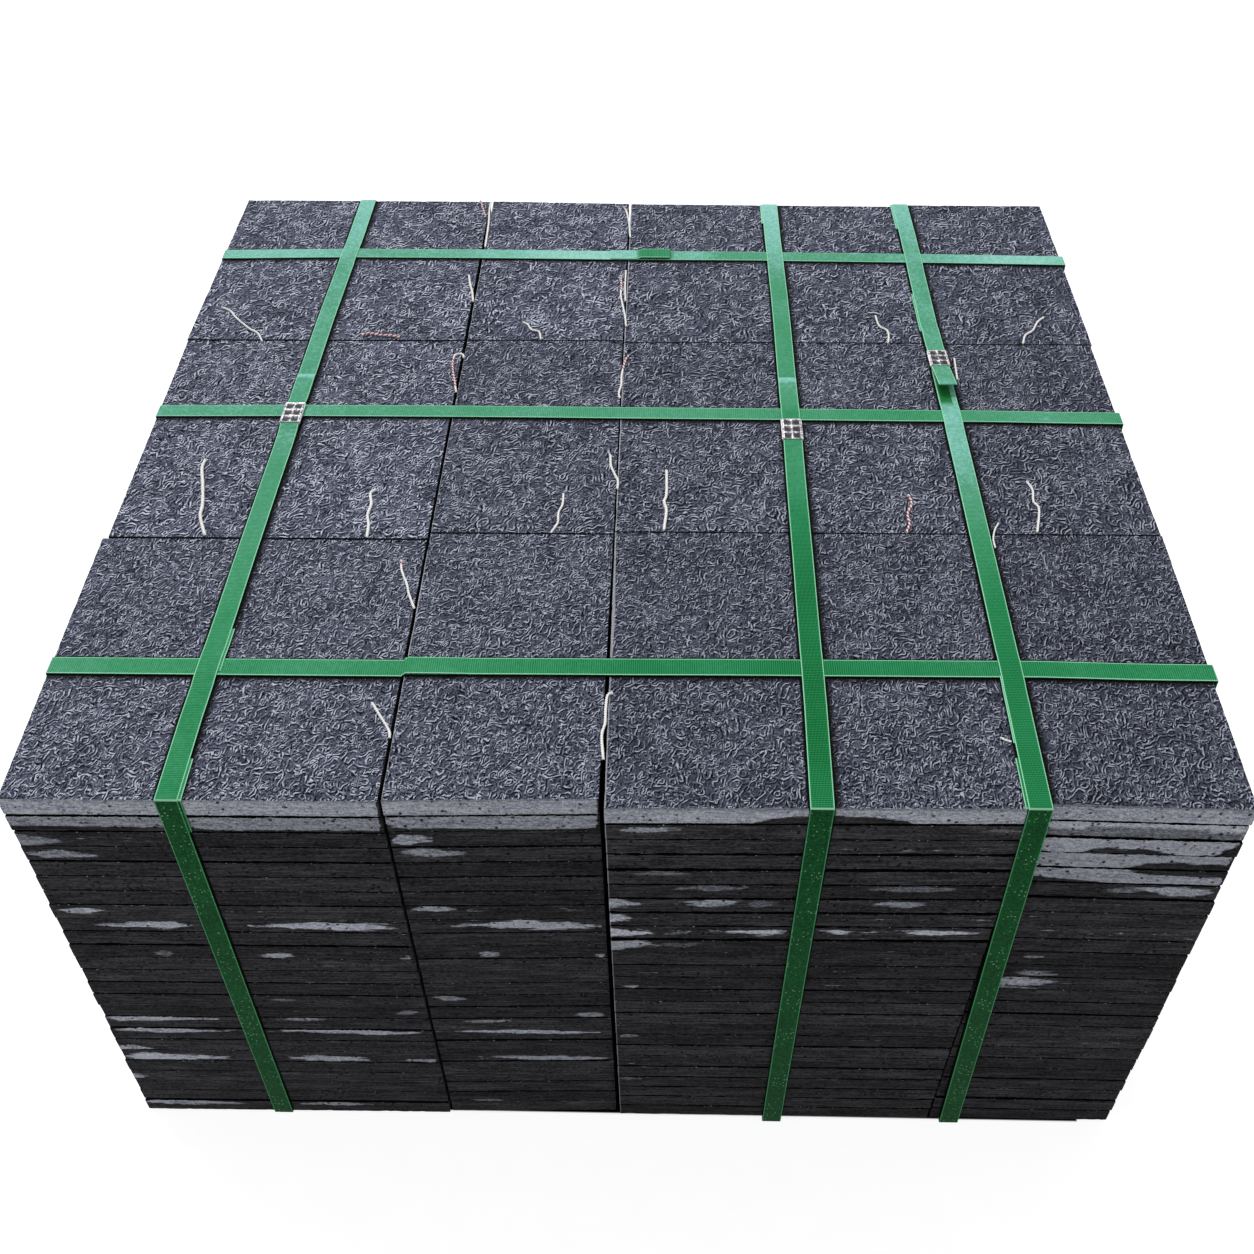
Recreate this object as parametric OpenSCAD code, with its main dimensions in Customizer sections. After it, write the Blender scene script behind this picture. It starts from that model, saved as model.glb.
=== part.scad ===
// Strapped stack of sawn basalt paving slabs, bound both ways with flat green plastic strap.
// Each layer is four columns by three rows of slabs. Straps 1 to 3 run front to back, over and
// under the stack, and close in a clip seal. The cross straps run left to right underneath them.
// Loose ends of string lie on the top slabs, at the joints.
// Modelled from the left front corner: X right, Y back, Z up. The origin ends up centred below.

/* [Slabs] */
// Thickness of one slab
slab_t = 19.65; // [18:0.05:25]
// Number of layers
layers = 25; // [3:1:30]
// Largest inward step of a slab below the top layer
jog_max = 1.2; // [0:0.1:3]

/* [Straps] */
// Width of the strap
strap_w = 18; // [12:0.5:19]
// Thickness of the strap
strap_t = 1; // [0.6:0.1:1.2]
// Length over which a strap rises on to what it crosses
ramp = 11; // [6:1:12]

/* [Hidden] */
// Top outline of each column: y of the front and back edge at its left and right end
front_edge = [[-1, 1], [2, 6], [-2.5, 1.5], [6.5, 3]];
back_edge = [[904.5, 901], [902, 896], [895.5, 889.5], [893, 891]];
// y of the two row joints in each column, and their gap
row_joint = [[294, 607], [303, 608], [306, 605], [306, 603]];
row_gap = [2, 1.4, 1, 1];
// Top outline of each row: x of the left and right edge at its front and back end
left_edge = [[5, -0.5], [4, -1], [-2.5, -1.5]];
right_edge = [[934, 937], [936, 935], [937, 935.5]];
// x of the three joints between columns, at the top and at the foot
joint_top = [290.5, 455, 773];
joint_foot = [295.5, 459, 761];
// Their gaps at the front, at the two row joints and at the back
joint_gap = [[2.4, 1.8, 2.8, 3.2], [4, 0.8, 0.9, 2], [2.5, 2.5, 2.5, 2.5]];
// y of the front edge of each column at the foot, at its left and right end
front_foot = [[-1, 1], [2, 6], [2, 3], [5, 5]];
// How far the left face leans out by its foot, and how far the right face bulges half way up
left_lean = 10;
right_bulge = 2.5;

// Straps 1 to 3: x at the top front edge, at the top back edge and at the front foot
strap_x = [[133, 143, 129.5], [617, 619, 608.5], [775.5, 772, 780.5]];
// Cross straps, front to back: y at the left and at the right edge
cross_y = [[137, 140], [481.5, 476.5], [781, 768]];
// y range of the clip seal on each strap, and of the second layer of strap around it
seal_y = [[459, 490], [437.5, 468.5], [560, 586]];
overlap_y = [[425, 543], [405, 540], [560, 630]];
// Wall of a clip seal
seal_wall = strap_t;
// Loose tail in front of the third seal: y of its end and how far it lifts
tail_end_y = 514;
tail_lift = 10;
// Second layer on the back cross strap: x of its start, of the kink and of its lifted free end
splice_x = [436, 467, 503];
splice_lift = 2;
kink = 3;
// Second layer on the front cross strap: x where it starts and where it has thinned out
lap_x = [290, 350];
lap_end = 0.2;
// Side clearance of a strap where it bridges a cross strap
bridge = 1.5;

// Strings: name, colour, diameter, route over the top (x, y)
strings = [
    ["string_01", "white", 2.2, [[22, 667], [32, 660], [41, 647], [60, 626], [70, 618], [78, 603]]],
    ["string_02", "white", 3.2, [[66, 403], [66, 390], [72, 368], [79, 338], [81, 321], [91, 296]]],
    ["string_03", "white", 2.4, [[290, 898], [290, 877], [292, 844], [293, 794]]],
    ["string_04", "red", 2, [[277, 902], [282, 882], [287, 862]]],
    ["string_05", "white", 2.4, [[281, 733], [284, 715], [288, 699], [291, 680]]],
    ["string_06", "white", 2.4, [[181, 615], [188, 618], [200, 615], [212, 614], [221, 611]]],
    ["string_07", "white", 2.2, [[348, 640], [353, 636], [358, 626], [366, 622], [369, 608]]],
    ["string_08", "white", 2.4, [[448, 886], [452, 871], [455, 847], [457, 816]]],
    ["string_09", "white", 2.2, [[449, 733], [450, 709], [450, 691], [455, 655], [457, 633]]],
    ["string_10", "white", 2, [[454, 744], [454, 712], [455, 682]]],
    ["string_11", "red", 2.2, [[292, 574], [291, 579], [287, 581], [283, 579], [282, 574], [282, 563], [284, 549],
        [287, 535], [291, 514]]],
    ["string_12", "white", 2.2, [[461, 579], [458, 570], [455, 545], [455, 528], [453, 514], [454, 505]]],
    ["string_13", "white", 2.4, [[448, 414], [449, 398], [453, 385], [456, 376], [456, 364]]],
    ["string_14", "white", 2.2, [[407, 357], [407, 342], [404, 330], [404, 316], [399, 303]]],
    ["string_15", "white", 2.8, [[501, 391], [501, 357], [499, 346], [501, 333], [499, 307]]],
    ["string_16", "white", 2.2, [[271, 265], [273, 252], [280, 234], [283, 223], [290, 205]]],
    ["string_17", "white", 2.2, [[271, 98], [277, 88], [288, 70], [290, 62]]],
    ["string_18", "white", 2.4, [[460, 111], [456, 108], [455, 94], [455, 79], [453, 66], [455, 43]]],
    ["string_19", "white", 2.2, [[720, 654], [722, 635], [729, 627], [730, 617], [728, 603]]],
    ["string_20", "white", 2.2, [[896, 652], [888, 643], [880, 627], [871, 618], [866, 603]]],
    ["string_21", "white", 2, [[792, 576], [791, 557], [790, 539]]],
    ["string_22", "red", 2.2, [[721, 358], [722, 345], [717, 332], [717, 318], [713, 306]]],
    ["string_23", "white", 2.2, [[831, 378], [834, 366], [832, 350], [835, 339], [828, 308]]],
    ["string_24", "white", 1.6, [[796, 320], [791, 310], [788, 298], [788, 287]]],
    ["string_25", "white", 2.8, [[234, 361], [230, 355], [233, 340], [232, 325], [235, 311], [236, 295]]],
    ["string_stub", "white", 1.8, [[757.5, 69], [761, 66.5], [765, 65]]]
];
// Sides of a string's tube, and the daylight between it and the slab
sides = 8;
string_clear = 0.1;

columns = 4;
rows = 3;
// Slabs rest on two thicknesses of strap
slab_z = 2 * strap_t;
top_z = slab_z + layers * slab_t;
// Colours
stone = "#33363c";
green = "#3f9d68";
steel = "#8b9195";

function lerp(a, b, f) = a + (b - a) * f;
function pad2(i) = i < 10 ? str("0", i) : str(i);
function layer_name(i) = str("layer_", pad2(i));
layer_names = [for (i = [1:layers]) layer_name(i)];
strap_names = ["strap_left", "strap_middle", "strap_right"];
cross_names = ["cross_strap_front", "cross_strap_middle", "cross_strap_back"];
seal_names = ["seal_left", "seal_middle", "seal_right"];

// Inward step of one side of one slab: none in the top layer, different for every slab below it
function jog(i, c, r, side) =
    i == layers ? 0 : rands(0, jog_max, 1, 1000 * i + 100 * c + 10 * r + side)[0];

// How far layer i of the right face stands out beyond the top layer
function bulge_at(i) = right_bulge * 4 * (i / layers) * (1 - i / layers);

// x of joint k between columns, at height f from 0 at the foot to 1 at the top, and half its gap
// at the front and at the back of row r
function joint_x(k, f) = lerp(joint_foot[k], joint_top[k], f) * [1, 1];
function half_gap(k, r) = [joint_gap[k][r], joint_gap[k][r + 1]] / 2;

// Corners of one slab, each pair given as front and back, or left and right
function slab_outline(i, c, r) =
    let (
        f = (i - 0.5) / layers,
        left = c == 0
            ? left_edge[r] + [1, 1] * (jog(i, c, r, 1) - left_lean * (1 - i / layers))
            : joint_x(c - 1, f) + half_gap(c - 1, r),
        right = c == columns - 1
            ? right_edge[r] - [1, 1] * (jog(i, c, r, 2) - bulge_at(i))
            : joint_x(c, f) - half_gap(c, r),
        front = r == 0
            ? lerp(front_foot[c], front_edge[c], i / layers) + [1, 1] * jog(i, c, r, 3)
            : [1, 1] * (row_joint[c][r - 1] + row_gap[c] / 2),
        back = r == rows - 1
            ? back_edge[c] - [1, 1] * jog(i, c, r, 4)
            : [1, 1] * (row_joint[c][r] - row_gap[c] / 2)
    )
    [[left[0], front[0]], [right[0], front[1]], [right[1], back[1]], [left[1], back[0]]];

// y of a column edge list at x on the top, and x of a row edge list at y
column_bounds = concat([0], joint_top, [right_edge[0][0]]);
row_bounds = concat([0], row_joint[0], [back_edge[0][0]]);
function part_at(v, bounds) = len([for (k = [1:len(bounds) - 2]) if (v >= bounds[k]) k]);
function edge_at(v, edges, bounds) =
    let (k = part_at(v, bounds))
    lerp(edges[k][0], edges[k][1], (v - bounds[k]) / (bounds[k + 1] - bounds[k]));

// Rounding to a tenth of a millimetre, outward
grid = 0.1;
function low(v) = floor(v / grid) * grid;
function high(v) = ceil(v / grid) * grid;

// Inner faces of a strap: the furthest out that the slabs reach across its width
half_w = strap_w / 2;
function across(v) = [v - half_w, v, v + half_w];
function edges_across(places, edges, bounds) =
    [for (p = places, v = across(p)) edge_at(v, edges, bounds)];
function strap_span(k) = [
    low(min(edges_across([strap_x[k][0], strap_x[k][2]], front_edge, column_bounds))),
    high(max(edges_across([strap_x[k][1]], back_edge, column_bounds)))
];
function cross_span(k) = [
    low(min(edges_across([cross_y[k][0]], left_edge, row_bounds))),
    high(max(edges_across([cross_y[k][1]], right_edge, row_bounds)) + right_bulge)
];

// Middle of the whole stack, straps included
strap_spans = [for (k = [0:2]) strap_span(k)];
cross_spans = [for (k = [0:2]) cross_span(k)];
x_low = min(min([for (e = left_edge) min(e)]), min([for (s = cross_spans) s[0]]) - strap_t) - left_lean;
x_high = max([for (s = cross_spans) s[1]]) + strap_t;
y_low = min(min([for (e = front_edge) min(e)]), min([for (s = strap_spans) s[0]]) - strap_t);
y_high = max(max([for (e = back_edge) max(e)]), max([for (s = strap_spans) s[1]]) + strap_t);
centre = [(x_low + x_high) / 2, (y_low + y_high) / 2, 0];

// Outline of a flat run of strap from [u0, v0] to [u1, v1], its two ends cut square
function band(u0, v0, u1, v1, w) = [
    [u0 - w / 2, v0], [u0 + w / 2, v0], [u0 + w / 2, v0 + strap_t], [u1 + w / 2, v1 - strap_t],
    [u1 + w / 2, v1], [u1 - w / 2, v1], [u1 - w / 2, v1 - strap_t], [u0 - w / 2, v0 + strap_t]
];
function swapped(points) = [for (p = points) [p[1], p[0]]];
function reversed(points) = [for (i = [len(points) - 1:-1:0]) points[i]];

// Side outline of a strap lying on heights, a list of [along, height], from a to b
function lying(heights, a, b, lift) = [
    for (v = concat([a], [for (h = heights) if (h[0] > a && h[0] < b) h[0]], [b]))
        [v, top_z + lookup(v, heights) + lift]
];
function ribbon(heights, a, b, lift) =
    concat(lying(heights, a, b, lift), reversed(lying(heights, a, b, lift + strap_t)));

// Heights that a strap crosses: a flat table from y0 to y1 with a ramp each side
function rise(y0, y1, level) = [[y0 - ramp, 0], [y0, level], [y1, level], [y1 + ramp, 0]];
function crossing(k, j) =
    let (y = lerp(cross_y[j][0], cross_y[j][1], strap_x[k][0] / x_high))
    [low(y - half_w - bridge), high(y + half_w + bridge)];
function crossing_rise(k, j) = rise(crossing(k, j)[0], crossing(k, j)[1], strap_t);
function middle_rise(k) =
    k == 0 ? rise(seal_y[0][0], max(seal_y[0][1], crossing(0, 1)[1]), strap_t + seal_wall)
    : k == 1 ? rise(seal_y[1][0], crossing(1, 1)[1], strap_t)
    : concat(crossing_rise(2, 1), rise(seal_y[2][0], seal_y[2][1], seal_wall));
function heights(k) = concat(crossing_rise(k, 0), middle_rise(k), crossing_rise(k, 2));

// Outlines from above of the run of a strap over the top, at width w, and of a cross strap
function plan(k, w) =
    let (x = strap_x[k], y = strap_spans[k])
    band(x[0], y[0] - strap_t, x[1], y[1] + strap_t, w);
function cross_plan(k, x_start) =
    let (y = cross_y[k], x = cross_spans[k])
    swapped(band(y[0], x_start - strap_t, y[1], x[1] + strap_t, strap_w));

// Solid of an outline in Y and Z across the whole width, in X and Z across the whole depth, and
// in X and Y over the whole height
module along_y(points)
    translate([x_low, 0, 0]) rotate([90, 0, 90]) linear_extrude(x_high - x_low) polygon(points);
module along_x(points)
    translate([0, y_high, 0]) rotate([90, 0, 0]) linear_extrude(y_high - y_low) polygon(points);
module upright(points) linear_extrude(2 * top_z) polygon(points);

// One layer: twelve separate slabs
module layer(i) color(stone)
    for (c = [0:columns - 1], r = [0:rows - 1])
        translate([0, 0, slab_z + (i - 1) * slab_t])
            linear_extrude(slab_t) polygon(slab_outline(i, c, r));

// Straps 1 to 3: over the top, down the front, under the stack and up the back
module strap(k) color(green) {
    x = strap_x[k];
    y = strap_spans[k];
    intersection() {
        upright(plan(k, strap_w));
        union() {
            along_y(ribbon(heights(k), y[0] - strap_t, y[1] + strap_t, 0));
            along_y(ribbon(heights(k), overlap_y[k][0], overlap_y[k][1], strap_t));
            if (k == 2) loose_tail();
        }
    }
    translate([0, y[0], 0]) rotate([90, 0, 0])
        linear_extrude(strap_t) polygon(band(x[2], 0, x[0], top_z + strap_t, strap_w));
    translate([0, y[1] + strap_t, 0]) rotate([90, 0, 0])
        linear_extrude(strap_t) polygon(band(x[1], 0, x[1], top_z + strap_t, strap_w));
    linear_extrude(strap_t) polygon(band(x[2], y[0] - strap_t, x[1], y[1] + strap_t, strap_w));
}

// End of strap that has sprung up in front of the third seal
module loose_tail() {
    y = overlap_y[2][0];
    z = top_z + seal_wall + strap_t;
    along_y([
        [y, z], [y, z + strap_t], [tail_end_y, z + strap_t + tail_lift], [tail_end_y, z + tail_lift]
    ]);
}

// Straps across: over the top, down both sides and underneath, inside straps 1 to 3. On the left
// they follow the face as it leans out
module cross_strap(k) color(green) {
    y = cross_y[k];
    x = cross_spans[k];
    foot_x = x[0] - left_lean;
    intersection() {
        upright(cross_plan(k, x[0]));
        union() {
            along_x(ribbon([[x_low, 0], [x_high, 0]], x[0] - strap_t, x[1] + strap_t, 0));
            if (k == 0) lap();
            if (k == 2) splice();
        }
    }
    translate([x[1], 0, 0]) rotate([90, 0, 90])
        linear_extrude(strap_t) polygon(band(y[1], strap_t, y[1], top_z + strap_t, strap_w));
    translate([0, y[0] + half_w, 0]) rotate([90, 0, 0]) linear_extrude(strap_w) polygon([
        [foot_x - strap_t, strap_t], [foot_x, strap_t], [foot_x, slab_z],
        [x[0], top_z], [x[0], top_z + strap_t], [x[0] - strap_t, top_z + strap_t],
        [x[0] - strap_t, top_z], [foot_x - strap_t, slab_z]
    ]);
    translate([0, 0, strap_t]) linear_extrude(strap_t) polygon(cross_plan(k, foot_x));
}

// Second layer on the back cross strap: its free end stands up off the first
module splice() {
    kink_x = splice_x[1] + kink;
    lifted = [[splice_x[0], 0], [splice_x[1], 0], [kink_x, splice_lift], [splice_x[2], splice_lift]];
    along_x(ribbon(lifted, splice_x[0], splice_x[2], strap_t));
}

// Second layer on the front cross strap, thinning out to the right
module lap() {
    z = top_z + strap_t;
    along_x([[lap_x[0], z], [lap_x[0], z + strap_t], [lap_x[1], z + lap_end], [lap_x[1], z]]);
}

// Clip seal: a steel sleeve pressed around both layers of the strap
module seal(k) color(steel) {
    y = seal_y[k];
    z = top_z + lookup(y[0], heights(k));
    h = 2 * strap_t;
    intersection() {
        difference() {
            translate([0, 0, z - seal_wall])
                linear_extrude(h + 2 * seal_wall) polygon(plan(k, strap_w + 2 * seal_wall));
            translate([0, 0, z]) linear_extrude(h) polygon(plan(k, strap_w));
        }
        translate([x_low, y[0], 0]) cube([x_high - x_low, y[1] - y[0], 2 * top_z]);
    }
}

// Loose string: a tube swept along its route, resting on the top slabs
function ring(route, j, r) =
    let (
        ahead = route[min(j + 1, len(route) - 1)] - route[max(j - 1, 0)],
        side = [-ahead[1], ahead[0]] / norm(ahead)
    )
    [for (a = [0:sides - 1])
        let (angle = 360 * a / sides, out = r * cos(angle) * side)
        [route[j][0] + out[0], route[j][1] + out[1], top_z + string_clear + r + r * sin(angle)]];
module string(s) color(s[1]) {
    route = s[3];
    last = len(route) - 1;
    polyhedron(
        points = [for (j = [0:last]) each ring(route, j, s[2] / 2)],
        faces = concat(
            [[for (a = [0:sides - 1]) a]],
            [for (j = [0:last - 1], a = [0:sides - 1])
                let (b = (a + 1) % sides, near = j * sides, far = near + sides)
                [near + a, far + a, far + b, near + b]],
            [[for (a = [sides - 1:-1:0]) last * sides + a]]
        )
    );
}

// The stack, moved so that the origin is below its middle
module placed() translate(-centre) children();

for (i = [1:layers]) placed() layer(i);
for (k = [0:2]) placed() strap(k);
for (k = [0:2]) placed() cross_strap(k);
for (k = [0:2]) placed() seal(k);
for (s = strings) placed() string(s);
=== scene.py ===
"""Looks of a strapped stack of basalt paving slabs: stone, straps, clip seals and loose string."""

import math

import bpy
import numpy as np
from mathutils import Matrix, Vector
from mathutils.bvhtree import BVHTree


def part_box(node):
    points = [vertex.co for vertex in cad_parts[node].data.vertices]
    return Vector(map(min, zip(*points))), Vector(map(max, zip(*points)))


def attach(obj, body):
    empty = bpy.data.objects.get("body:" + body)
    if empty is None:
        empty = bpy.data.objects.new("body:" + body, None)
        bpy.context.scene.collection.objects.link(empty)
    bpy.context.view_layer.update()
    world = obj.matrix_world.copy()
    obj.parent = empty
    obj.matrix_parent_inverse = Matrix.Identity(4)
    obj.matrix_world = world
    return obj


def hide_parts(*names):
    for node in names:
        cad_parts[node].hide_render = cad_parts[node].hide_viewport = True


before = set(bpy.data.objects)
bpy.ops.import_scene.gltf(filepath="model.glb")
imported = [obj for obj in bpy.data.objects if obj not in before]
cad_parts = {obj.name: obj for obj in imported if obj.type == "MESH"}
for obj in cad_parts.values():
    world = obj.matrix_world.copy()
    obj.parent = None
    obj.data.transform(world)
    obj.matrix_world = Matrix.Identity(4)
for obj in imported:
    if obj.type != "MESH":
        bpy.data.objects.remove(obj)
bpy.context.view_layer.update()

MM = 0.001
LAYERS = sorted((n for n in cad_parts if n.startswith("layer_")), reverse=True)
TOP_LAYER = LAYERS[0]
TOP_LOW, TOP_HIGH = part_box(TOP_LAYER)
TOP_Z = TOP_HIGH.z
FOOT_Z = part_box(LAYERS[-1])[0].z

# The part's own x and y, in millimetres, start this far inside the lowest corner of the top layer
DATUM_IN = 2.5 * MM
DATUM = Vector((TOP_LOW.x + DATUM_IN, TOP_LOW.y + DATUM_IN, 0))


# ---------------------------------------------------------------- camera

CAMERA_FROM_DATUM = Vector((501.2, -644.3, 1320.0)) * MM
CAMERA_TURN = (45.142, 0.748, 1.451)
CAMERA_LENS = 40.66
CAMERA_NEAR = 0.01

scene = bpy.context.scene
camera = bpy.data.objects.new("camera", bpy.data.cameras.new("camera"))
scene.collection.objects.link(camera)
camera.location = DATUM + CAMERA_FROM_DATUM
camera.rotation_euler = [math.radians(a) for a in CAMERA_TURN]
camera.data.lens = CAMERA_LENS
camera.data.clip_start = CAMERA_NEAR
scene.camera = camera


# ---------------------------------------------------------------- noise and meshes

TABLE_SIZE = 4096
TABLE = np.random.default_rng(20).random(TABLE_SIZE)
# Large primes that scatter neighbouring points over the table
PRIMES = (73856093, 19349663, 83492791)
# Edges between faces that meet at more than this angle stay sharp
SHARP = math.radians(40)


def lattice(ix, iy, seed):
    """A fixed random number from 0 to 1 for each whole-numbered point."""
    whole = (ix.astype(np.int64), iy.astype(np.int64), seed)
    a, b, c = (number * prime for number, prime in zip(whole, PRIMES))
    return TABLE[(a ^ b ^ c) % TABLE_SIZE]


def noise(x, y, seed):
    """Smooth noise from 0 to 1, with a wavelength of about 1."""
    x, y = np.broadcast_arrays(np.asarray(x, float), np.asarray(y, float))
    ix, iy = np.floor(x), np.floor(y)
    fx, fy = x - ix, y - iy
    fx, fy = fx * fx * (3 - 2 * fx), fy * fy * (3 - 2 * fy)
    low = lattice(ix, iy, seed) * (1 - fx) + lattice(ix + 1, iy, seed) * fx
    high = lattice(ix, iy + 1, seed) * (1 - fx) + lattice(ix + 1, iy + 1, seed) * fx
    return low * (1 - fy) + high * fy


def rough_noise(x, y, seed, octaves=3):
    """Noise of several wavelengths, each half the last, from about 0 to 1."""
    total = sum(noise(x * 2**k, y * 2**k, seed + k) / 2**k for k in range(octaves))
    return total / sum(1 / 2**k for k in range(octaves))


def smoothstep(low, high, v):
    t = np.clip((v - low) / (high - low), 0, 1)
    return t * t * (3 - 2 * t)


def unit(vectors):
    return vectors / np.linalg.norm(vectors, axis=1)[:, None]


def distances_along(path):
    return np.concatenate([[0], np.cumsum(np.linalg.norm(np.diff(path, axis=0), axis=1))])


def loop_faces(count, lower, upper):
    """Faces between two rings of count points, which start at the points lower and upper."""
    pairs = [(a, (a + 1) % count) for a in range(count)]
    return [(lower + a, lower + b, upper + b, upper + a) for a, b in pairs]


def swept_faces(count, rings, closed=False):
    """Faces of a closed section of count points that is swept through a number of rings. The
    ends have caps, unless the last ring joins the first."""
    faces = []
    for k in range(rings if closed else rings - 1):
        faces += loop_faces(count, k * count, (k + 1) % rings * count)
    if not closed:
        faces.append(tuple(reversed(range(count))))
        faces.append(tuple(range((rings - 1) * count, rings * count)))
    return faces


def joined(parts):
    """One mesh from several. Each part is its points, its faces and a list of its point values."""
    faces, start = [], 0
    for verts, part_faces, _ in parts:
        faces += [tuple(i + start for i in face) for face in part_faces]
        start += len(verts)
    values = [np.concatenate(v) for v in zip(*(part[2] for part in parts))]
    return np.vstack([part[0] for part in parts]), faces, values


def make_piece(name, node, slot, verts, faces, *materials, face_material=None, **point_values):
    """A piece that rides on the stack and replaces a CAD node. Each of point_values becomes an
    attribute of its mesh."""
    mesh = bpy.data.meshes.new(name)
    mesh.from_pydata(np.asarray(verts).tolist(), [], faces)
    for m in materials:
        mesh.materials.append(m)
    if face_material is not None:
        mesh.polygons.foreach_set("material_index", face_material)
    mesh.polygons.foreach_set("use_smooth", [True] * len(mesh.polygons))
    for key, values in point_values.items():
        attribute = mesh.attributes.new(key, "FLOAT", "POINT")
        attribute.data.foreach_set("value", np.asarray(values, np.float32))
    mesh.validate()
    mesh.set_sharp_from_angle(angle=SHARP)
    piece = bpy.data.objects.new(name, mesh)
    scene.collection.objects.link(piece)
    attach(piece, "root")
    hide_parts(node)
    return piece


# ---------------------------------------------------------------- materials

# The point value "tone" that leaves a colour as it is
TONE_SCALE = 1 / 1.4
# Most of a noise lies between these two values
NOISE_RANGE = (0.3, 0.7)


def srgb(r, g, b):
    """A colour given as 0 to 255 on screen, as the linear colour that nodes take."""
    def linear(c):
        c /= 255
        return c / 12.92 if c <= 0.04045 else ((c + 0.055) / 1.055) ** 2.4
    return (linear(r), linear(g), linear(b), 1.0)


class Value:
    """The output of a node. Arithmetic with values adds Math nodes."""

    def __init__(self, graph, socket):
        self.graph = graph
        self.socket = socket

    def __add__(self, other):
        return self.graph.math("ADD", self, other)

    def __sub__(self, other):
        return self.graph.math("SUBTRACT", self, other)

    def __mul__(self, other):
        return self.graph.math("MULTIPLY", self, other)

    def __truediv__(self, other):
        return self.graph.math("DIVIDE", self, other)

    def __abs__(self):
        return self.graph.math("ABSOLUTE", self)


class Graph:
    """The nodes of a material or a world. A number or a Value goes into any input."""

    def __init__(self, owner, shader="Principled BSDF"):
        owner.use_nodes = True
        self.owner = owner
        self.nodes = owner.node_tree.nodes
        self.shader = self.nodes[shader]
        self.colour = None

    def put(self, node, key, value):
        if isinstance(value, Value):
            self.owner.node_tree.links.new(value.socket, node.inputs[key])
        else:
            node.inputs[key].default_value = value

    def node(self, kind, out=0, inputs=(), **settings):
        node = self.nodes.new("ShaderNode" + kind)
        for key, value in settings.items():
            setattr(node, key, value)
        for key, value in dict(inputs).items():
            self.put(node, key, value)
        return Value(self, node.outputs[out])

    def math(self, operation, a, b=0.0):
        return self.node("Math", inputs={0: a, 1: b}, operation=operation)

    def vector(self, operation, a, b=(0, 0, 0), out=0, **more):
        return self.node("VectorMath", out, {0: a, 1: b, **more}, operation=operation)

    def position(self, scale):
        """Place on the object, in units of 1/scale metres. scale is one number, or three."""
        at = self.node("TexCoord", "Object")
        return self.vector("MULTIPLY", at, scale if isinstance(scale, tuple) else (scale,) * 3)

    def noise(self, at, scale=1.0, detail=2.0, roughness=0.5):
        values = {"Vector": at, "Scale": scale, "Detail": detail, "Roughness": roughness}
        return self.node("TexNoise", "Fac", values)

    def cells(self, at, scale=1.0):
        """Distance to the nearest of the scattered points of a Voronoi texture."""
        return self.node("TexVoronoi", "Distance", {"Vector": at, "Scale": scale})

    def scaled(self, value, low, high, to_low, to_high, **settings):
        """value stretched so that low becomes to_low and high becomes to_high."""
        names = ("Value", "From Min", "From Max", "To Min", "To Max")
        levels = zip(names, (value, low, high, to_low, to_high))
        return self.node("MapRange", inputs=levels, **settings)

    def step(self, value, low, high, to_low=0.0, to_high=1.0):
        """A smooth step from to_low at low to to_high at high."""
        return self.scaled(value, low, high, to_low, to_high, interpolation_type="SMOOTHSTEP")

    def swing(self, noise, most):
        """A noise stretched to run from -most to most."""
        return self.scaled(noise, *NOISE_RANGE, -most, most)

    def mix(self, share, a, b, blend="MIX"):
        return self.node("Mix", 2, {0: share, 6: a, 7: b}, data_type="RGBA", blend_type=blend)

    def ramp(self, value, *stops, colour=srgb):
        """A colour ramp. Each stop is its place and its colour, 0 to 255 on screen."""
        ramp = self.node("ValToRGB", "Color", {"Fac": value})
        elements = ramp.socket.node.color_ramp.elements
        while len(elements) < len(stops):
            elements.new(0.5)
        for element, (place, *rgb) in zip(elements, stops):
            element.position = place
            element.color = colour(*rgb)
        return ramp

    def point_value(self, name):
        return self.node("Attribute", "Fac", attribute_name=name)

    def paint(self, share, *colour):
        """Lays a colour, 0 to 255 on screen or a Value, over what there is."""
        over = srgb(*colour) if len(colour) == 3 else colour[0]
        self.colour = self.mix(share, self.colour, over)

    def paint_tone(self):
        """Darker or lighter by the point value "tone"."""
        stops = (0, 0), (1, 1 / TONE_SCALE)
        tone = self.ramp(self.point_value("tone"), *stops, colour=lambda c: (c, c, c, 1))
        self.colour = self.mix(1.0, self.colour, tone, "MULTIPLY")

    def bump(self, height, strength, distance):
        values = {"Height": height, "Strength": strength, "Distance": distance}
        return self.node("Bump", "Normal", values)

    def seen(self):
        """1 where a camera, glossy or transmission ray looks, and 0 for the light others carry."""
        paths = self.nodes.new("ShaderNodeLightPath").outputs
        eye, glossy, through = (
            Value(self, paths[f"Is {kind} Ray"]) for kind in ("Camera", "Glossy", "Transmission")
        )
        return self.math("MAXIMUM", self.math("MAXIMUM", eye, glossy), through)

    def finish(self, roughness, specular=0.5, **more):
        """Sets the shader's inputs, and gives the material."""
        more |= {"Base Color": self.colour, "Roughness": roughness, "Specular IOR Level": specular}
        for key, value in more.items():
            self.put(self.shader, key, value)
        return self.owner


def material(name):
    return Graph(bpy.data.materials.new(name))


# How far apart the slope of a noise is measured, in mm, and the least slope
PROBE = 0.4
FLATTEST = 0.03
LIGHT_FROM = (-0.62, 0.78, 0.0)


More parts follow.
